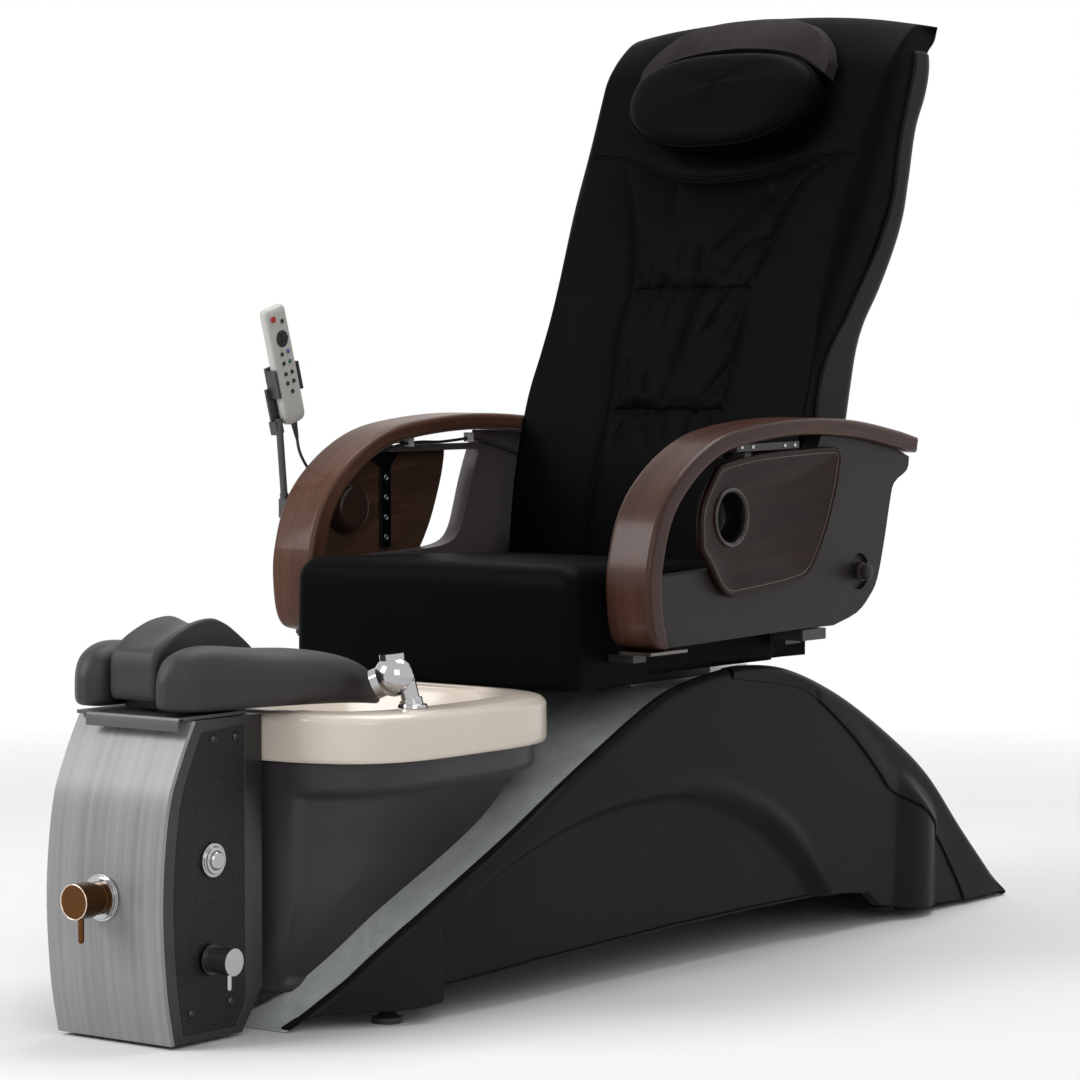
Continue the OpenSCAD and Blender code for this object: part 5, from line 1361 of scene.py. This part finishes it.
CUP_PROFILE = [(0.5, -4), (27, -4), (32, -2.6), (34, 0), (36.6, 14), (37.6, 24), (37.8, 33.6), (41.5, 33.4),
               (42, 34.0), (41.5, 35.0), (38.2, 35.2), (36.4, 34.6), (35.6, 33), (35.4, 22), (31.5, 2.2),
               (28, -1.2), (0.5, -1.2)]
LINER_PROFILE = [(0.5, -1.1), (28.2, -1.1), (31.7, 2.3), (35.5, 22), (35.7, 33.3), (35.3, 33.6), (34.9, 33.2),
                 (34.8, 22), (31.0, 2.8), (27.8, -0.7), (0.5, -0.7)]
RING_PROFILE = [(37.6, 35.0), (38.0, 36.1), (39.6, 36.5), (41.2, 36.1), (41.6, 35.0), (41.4, 34.2),
                (38.0, 34.2), (37.6, 35.0)]
KNOB_PROFILE = [(13.5, 0), (13.5, 3), (11.4, 4.2), (11.0, 12), (10.2, 14.6), (8.4, 15.8), (0.4, 16.2)]
SCREW_PROFILE = [(3.4, 0), (3.4, 1.0), (2.8, 1.7), (1.4, 2.1), (1.2, 1.5), (0.2, 1.5)]
HOLE_PROFILE = [(4.4, 0), (4.4, 0.5), (3.9, 0.8), (3.3, 0.5), (3.3, 0.2), (0.2, 0.2)]


def tray_bead(side, outline):
    """The fine raised line round the tray's sunk face."""
    line = along_x(inset(outline, 8.6), side * (TRAY_OUT - 2.5))
    return tube(f"tray_bead_{SIDES[side]}", line, 0.9, closed=True, sides=8)


def side_plate(name, side, outline, x0, x1, r):
    """A small plate on one side, between two distances from the middle."""
    return plate(f"{name}_{SIDES[side]}", outline, *sorted((side * x0, side * x1)), r)


# ---------------------------------------------------------------- remote control

REMOTE = placed((-346, -107, 770), ("X", 16.5))
HANDSET_L, HANDSET_W, HANDSET_DEEP = 176, 46, 9


def handset_case():
    """A slim handset: rounded back, soft edges and a slightly domed face."""
    rings = []
    count = 48
    a = around(count)
    stations = np.concatenate([[0.0, 0.012, 0.035, 0.07], np.linspace(0.12, 0.88, 18),
                               [0.93, 0.965, 0.988, 1.0]])
    for t in stations:
        low_end, high_end = end_curve(t / 0.075), end_curve((1 - t) / 0.05)
        half = HANDSET_W / 2 * mix(0.55, 1, low_end) * mix(0.72, 1, high_end)
        deep = HANDSET_DEEP * mix(0.5, 1, low_end) * mix(0.55, 1, high_end)
        x = -1 + deep * rounded(np.cos(a), 2 / 3.4)
        y = half * rounded(np.sin(a), 2 / 4.2)
        rings.append(moved(np.column_stack([x, y, np.full(count, t * HANDSET_L)]), REMOTE))
    return loft("handset_case", rings)


# Each key is its place across and along the handset, and its finish.
KEYS = [(7, 153, "key_rubber"), (-7, 106, "key_rubber"), (7, 107, "key_blue"), (-7, 92, "key_rubber"),
        (7, 92, "key_teal"), (-7, 76, "key_rubber"), (7, 76, "key_rubber"), (-7, 62, "key_rubber"),
        (7, 62, "key_rubber"), (0, 48, "key_rubber")]


KEY_X, KEY_R, KEY_HIGH = 7.4, 3.25, 2.6


def key_cap(name, y, z):
    """One small key of the handset."""
    profile = [(KEY_R, 0), (KEY_R, KEY_HIGH - 0.8), (KEY_R - 0.3, KEY_HIGH - 0.3), (KEY_R - 0.9, KEY_HIGH),
               (0.3, KEY_HIGH + 0.15)]
    return turned(name, profile, REMOTE @ placed((KEY_X, y, z), ("Y", 90)), 24)


def strain_relief():
    """The ribbed sleeve under the handset where its cord comes out."""
    profile = [(5.6, 1)]
    for k in range(13):
        z = -1 - 1.8 * k
        r = 5.0 - 0.16 * k
        profile += [(r, z), (r, z - 0.9), (r - 0.6, z - 1.0), (r - 0.6, z - 1.7)]
    profile.append((2.4, -25.5))
    return turned("strain_relief", profile, REMOTE @ placed((-1, 0, 0)), 32)


# ---------------------------------------------------------------- putting it together

# CAD nodes that stay as they are: finish, width of the bevels on their edges in mm, and for the
# sprayer's head no bevels and its round form kept.
KEPT = {
    "base_frame": ("frame_paint", 1.2), "levelling_feet": ("frame_paint", 0.5),
    "drain_strainer": ("chrome", 0.3), "jet_pump": ("cup_plastic", 0.5), "jet_impeller": ("steel", 0.2),
    "tower_body": ("trim_plastic", 1.6), "front_panel": ("grey_wood_grain", 1.2),
    "tower_side_left": ("pebbled_black", 0.8), "tower_side_right": ("pebbled_black", 0.8),
    "panel_screws": ("dark_steel", 0.3), "mixer_escutcheon": ("chrome", 0.8),
    "mixer_valve": ("steel", 0.4), "mixer_handle": ("warm_chrome", 0.9), "button_bezel": ("chrome", 0.9),
    "jet_button": ("chrome", 0.7), "diverter_collar": ("dark_steel", 0.8),
    "diverter_handle": ("chrome", 0.9), "sprayer_socket": ("chrome", 0.6),
    "sprayer_head": ("chrome", 0, 30, False, True), "footrest_plate": ("stippled_steel", 0.8),
    "seat_rails": ("steel", 0.4), "seat_carriage": ("frame_paint", 0.8), "seat_pan": ("frame_paint", 0.8),
    "actuator_body": ("frame_paint", 0.8), "actuator_rod": ("chrome", 0.5),
    "back_frame": ("frame_paint", 0.8), "massage_rails": ("steel", 0.3),
    "massage_carriage": ("frame_paint", 0.5), "massage_rollers": ("roller_rubber", 1.0),
    # The two arm panels get a darker and a lighter copy of one plastic: painted shade and painted light.
    "arm_panel_left": ("panel_plastic", 1.8), "arm_panel_right": ("far_panel_plastic", 1.8),
    "remote_holder": ("holder_plastic", 0.6), "cord_clips": ("clip_plastic", 0.5),
    "power_key": ("key_red", 0.3), "direction_pad": ("key_rubber", 0.4)}


def dress_base():
    for side, name in SIDES.items():
        shell = rigid(side_panel(side), 50)
        piece(shell, "base", "base_plastic", ["side_panel_" + name])
    piece(rigid(rear_cover(), 40), "base", "base_plastic", ["rear_cover"])
    piece(rigid(ramp(), 40), "base", "grey_green_marble", ["ramp_cover"])
    piece(tub(), "base", "tub_plastic", ["tub_shell"])
    piece(basin_bowl(), "base", "cream_acrylic", ["basin"])


CAP_RING_R, CAP_BEAD_R, CAP_Z = 22.1, 0.9, 188


def cap_highlight_bead():
    """A thin bead round the edge of the mixer's cap, which stands in as a painted highlight on that edge."""
    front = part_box("mixer_handle")[0][1] / MM
    bead = [(CAP_RING_R + CAP_BEAD_R * math.cos(a), CAP_BEAD_R * math.sin(a))
            for a in arc(0, 360, 17)]
    return turned("cap_highlight_bead", bead, placed((0, front + 0.2, CAP_Z), ("X", 90)), 72, (False, False))


def dress_tower():
    # The bead's finish is far lighter than the cap's: a painted highlight along the cap's edge.
    piece(rigid(cap_highlight_bead()), "mixer_lever", "rose_chrome")


def padded(obj, soften=True):
    if soften:
        obj.modifiers.new("soft", "SUBSURF").render_levels = 1


def dress_footrest():
    piece(rigid(foot_bridge(), 60), "base", "grey_foam", ["footrest_bridge"])
    piece(rigid(foot_lug()), "base", "cup_plastic")
    piece(rigid(pin_stub(1)), "base", "dark_steel", ["footrest_pin"])
    piece(rigid(pin_stub(-1)), "base", "dark_steel")
    lip = plate("plate_lip", [(-849, 400), (-849, 413), (-846, 417), (-836, 417), (-836, 415), (-845, 414.6),
                              (-846.8, 412), (-846.8, 400)], -64, 94, 0.6, 2)
    piece(rigid(lip), "base", "stippled_steel")
    pads = [piece(foot_pad(side), name + "_foot_pad", "grey_foam", ["footrest_pad_" + name])
            for side, name in SIDES.items()]
    for pad in pads:
        padded(pad)


def dress_seat():
    cushion = piece(seat_cushion(), "carriage", "black_leather", ["seat_cushion"])
    padded(cushion, soften=False)
    piece(seat_box(), "carriage", "black_leather", ["seat_skirt"])


def dress_back():
    cushion = piece(back_cushion(), "back", "black_leather", ["back_cushion"])
    padded(cushion, soften=False)
    padded(piece(pillow(), "back", "black_leather", ["head_pillow"]))
    piece(pillow_piping(), "back", "black_leather")
    piece(strap_band(), "back", "grey_strap", ["head_band"])
    piece(rigid(back_shell(), 50), "back", "shell_plastic", ["back_shell"])


def dress_arm(side, outline, cup_y, wood, band_wood, panel, hinge_y, strip_y):
    """An arm's band, hinge and tray; hinge_y and strip_y are where its hinge and bracket start."""
    name = SIDES[side]
    body, table = name + "_arm", name + "_table"
    piece(rigid(arm_band(side), 50), body, band_wood, ["arm_" + name])
    if side > 0:
        foot = [(-163, 461), (-163, 466), (-76, 466), (-76, 461)]
        piece(rigid(side_plate("arm_foot", side, foot, 262, 337, 1.8)), "carriage", "dark_chrome")
    leaf = [(hinge_y, 733), (hinge_y, 744.5), (hinge_y + 160, 746.5), (hinge_y + 160, 735)]
    piece(rigid(side_plate("hinge_leaf", side, leaf, HINGE_IN, HINGE_OUT, 1)), body, "dark_steel")
    for k, along in enumerate((12, 40, 122, 148)):
        place = outward(side, HINGE_OUT, hinge_y + along, 740)
        piece(rigid(turned(f"hinge_screw_{name}_{k}", SCREW_PROFILE, place, 20)), body, "steel")
    strip = [(strip_y + 36, 578), (strip_y + 36, 700), (strip_y, 722), (strip_y + 84, 726),
             (strip_y + 60, 700), (strip_y + 60, 578)]
    piece(rigid(side_plate("tray_bracket", side, strip, HINGE_IN, 322, 0.8)), table, "dark_steel")
    for k in range(4):
        place = outward(-side, -HINGE_IN, strip_y + 48, 594 + 30 * k)
        hole = turned(f"bracket_hole_{name}_{k}", HOLE_PROFILE, place, 20)
        piece(rigid(hole), table, "steel")
    piece(tray(side, outline, cup_y), table, wood, ["tray_" + name])
    cup = outward(side, CUP_X, cup_y, CUP_Z)
    holder = rigid(turned("cup_" + name, CUP_PROFILE, cup), 50)
    piece(holder, table, "cup_brown", ["cup_insert_" + name])
    piece(turned("cup_liner_" + name, LINER_PROFILE, cup), table, "cup_plastic")
    # The raised bead round the sunk face is real; its light finish is a painted highlight along it.
    piece(tray_bead(side, outline), table, "rim_bead")
    knob = turned("pivot_knob_" + name, KNOB_PROFILE, outward(side, *KNOB_AT), 48)
    piece(rigid(knob, 50), body, panel)
    mouth = turned("cup_ring_" + name, RING_PROFILE, cup, caps=(False, False))
    piece(mouth, table, "dark_ring")


def dress_remote():
    piece(handset_case(), "remote", "handset_plastic", ["handset"])
    for i, (y, z, finish) in enumerate(KEYS):
        piece(key_cap(f"key_{i}", y, z), "remote", finish, ["keypad"] if i == 0 else ())
    piece(strain_relief(), "remote", "cord_rubber")


for node_name, node_look in KEPT.items():
    keep(node_name, *node_look)
dress_base()
dress_tower()
dress_footrest()
dress_seat()
dress_back()
# The near arm gets the darker copies of its wood and panel finishes and the far arm the lighter ones: painted
# shade on the near arm, painted light on the far arm.
dress_arm(1, LEFT_TRAY, 38, "red_walnut", "walnut", "panel_plastic", 60, 128)
dress_arm(-1, RIGHT_TRAY, -28, "amber_walnut", "brown_walnut", "far_panel_plastic", -20, 24)
dress_remote()

# ---------------------------------------------------------------- stage

FLOOR_HALF = 30
SURROUND_SEEN, SURROUND_SOFT = 1.0, 0.42  # for the camera and for gloss, and for all other light
# Name, place, aim, size and watts.
LAMPS = [("key", (-2.4, -3.9, 3.1), (0, 0, 0.6), (2.4, 2.4), 135),
         ("side", (3.4, -2.8, 2.2), (0, -0.3, 0.4), (2.2, 2.2), 30),
         ("top", (0.2, 1.2, 4.4), (0, 0.1, 0.5), (3.0, 2.4), 95)]


def area_light(name, at, to, size, watts):
    """A soft lamp at a place, aimed at a point."""
    data = bpy.data.lights.new(name, "AREA")
    data.shape = "RECTANGLE"
    data.size, data.size_y = size
    data.energy = watts
    lamp = bpy.data.objects.new(name, data)
    SCENE.collection.objects.link(lamp)
    lamp.location = at
    lamp.rotation_mode = "QUATERNION"
    lamp.rotation_quaternion = (Vector(to) - Vector(at)).to_track_quat("-Z", "Y")


def make_floor():
    """A pale floor that fades out away from the part."""
    h = FLOOR_HALF
    mesh = bpy.data.meshes.new("floor")
    mesh.from_pydata([(-h, -h, 0), (h, -h, 0), (h, h, 0), (-h, h, 0)], [], [(0, 1, 2, 3)])
    floor = bpy.data.objects.new("floor", mesh)
    SCENE.collection.objects.link(floor)
    f = Finish("pale_floor", (0.90, 0.90, 0.90), 0.75, specular=0.1)
    f.rough(f.noise(3, 3, 0.5), "Fac", 0.7, 0.8)
    round_it = f.node("ShaderNodeTexGradient")
    round_it.gradient_type = "SPHERICAL"
    f.join(f.place((0.28, 0.28, 0.28)), "Vector", round_it, "Vector")
    f.join(f.ramp(round_it, "Fac", [(0.05, 0.0), (0.45, 1.0)]), "Color", f.shader, "Alpha")
    dress(floor, "pale_floor")


def make_surround():
    """White where the camera or gloss sees it, dimmer as a light on rough surfaces."""
    world = bpy.data.worlds.new("surround")
    SCENE.world = world
    world.use_nodes = True
    tree = world.node_tree
    tree.nodes.clear()

    def larger(first, second):
        n = tree.nodes.new("ShaderNodeMath")
        n.operation = "MAXIMUM"
        tree.links.new(first, n.inputs[0])
        tree.links.new(second, n.inputs[1])
        return n.outputs[0]

    def white(strength):
        n = tree.nodes.new("ShaderNodeBackground")
        n.inputs["Color"].default_value = (1, 1, 1, 1)
        n.inputs["Strength"].default_value = strength
        return n.outputs[0]

    rays_of = tree.nodes.new("ShaderNodeLightPath").outputs
    seen = larger(rays_of["Is Camera Ray"], rays_of["Is Transmission Ray"])
    either = tree.nodes.new("ShaderNodeMixShader")
    out = tree.nodes.new("ShaderNodeOutputWorld")
    tree.links.new(larger(seen, rays_of["Is Glossy Ray"]), either.inputs[0])
    tree.links.new(white(SURROUND_SOFT), either.inputs[1])
    tree.links.new(white(SURROUND_SEEN), either.inputs[2])
    tree.links.new(either.outputs[0], out.inputs[0])


make_floor()
make_surround()
for lamp_row in LAMPS:
    area_light(*lamp_row)
SCENE.view_settings.view_transform = "Standard"
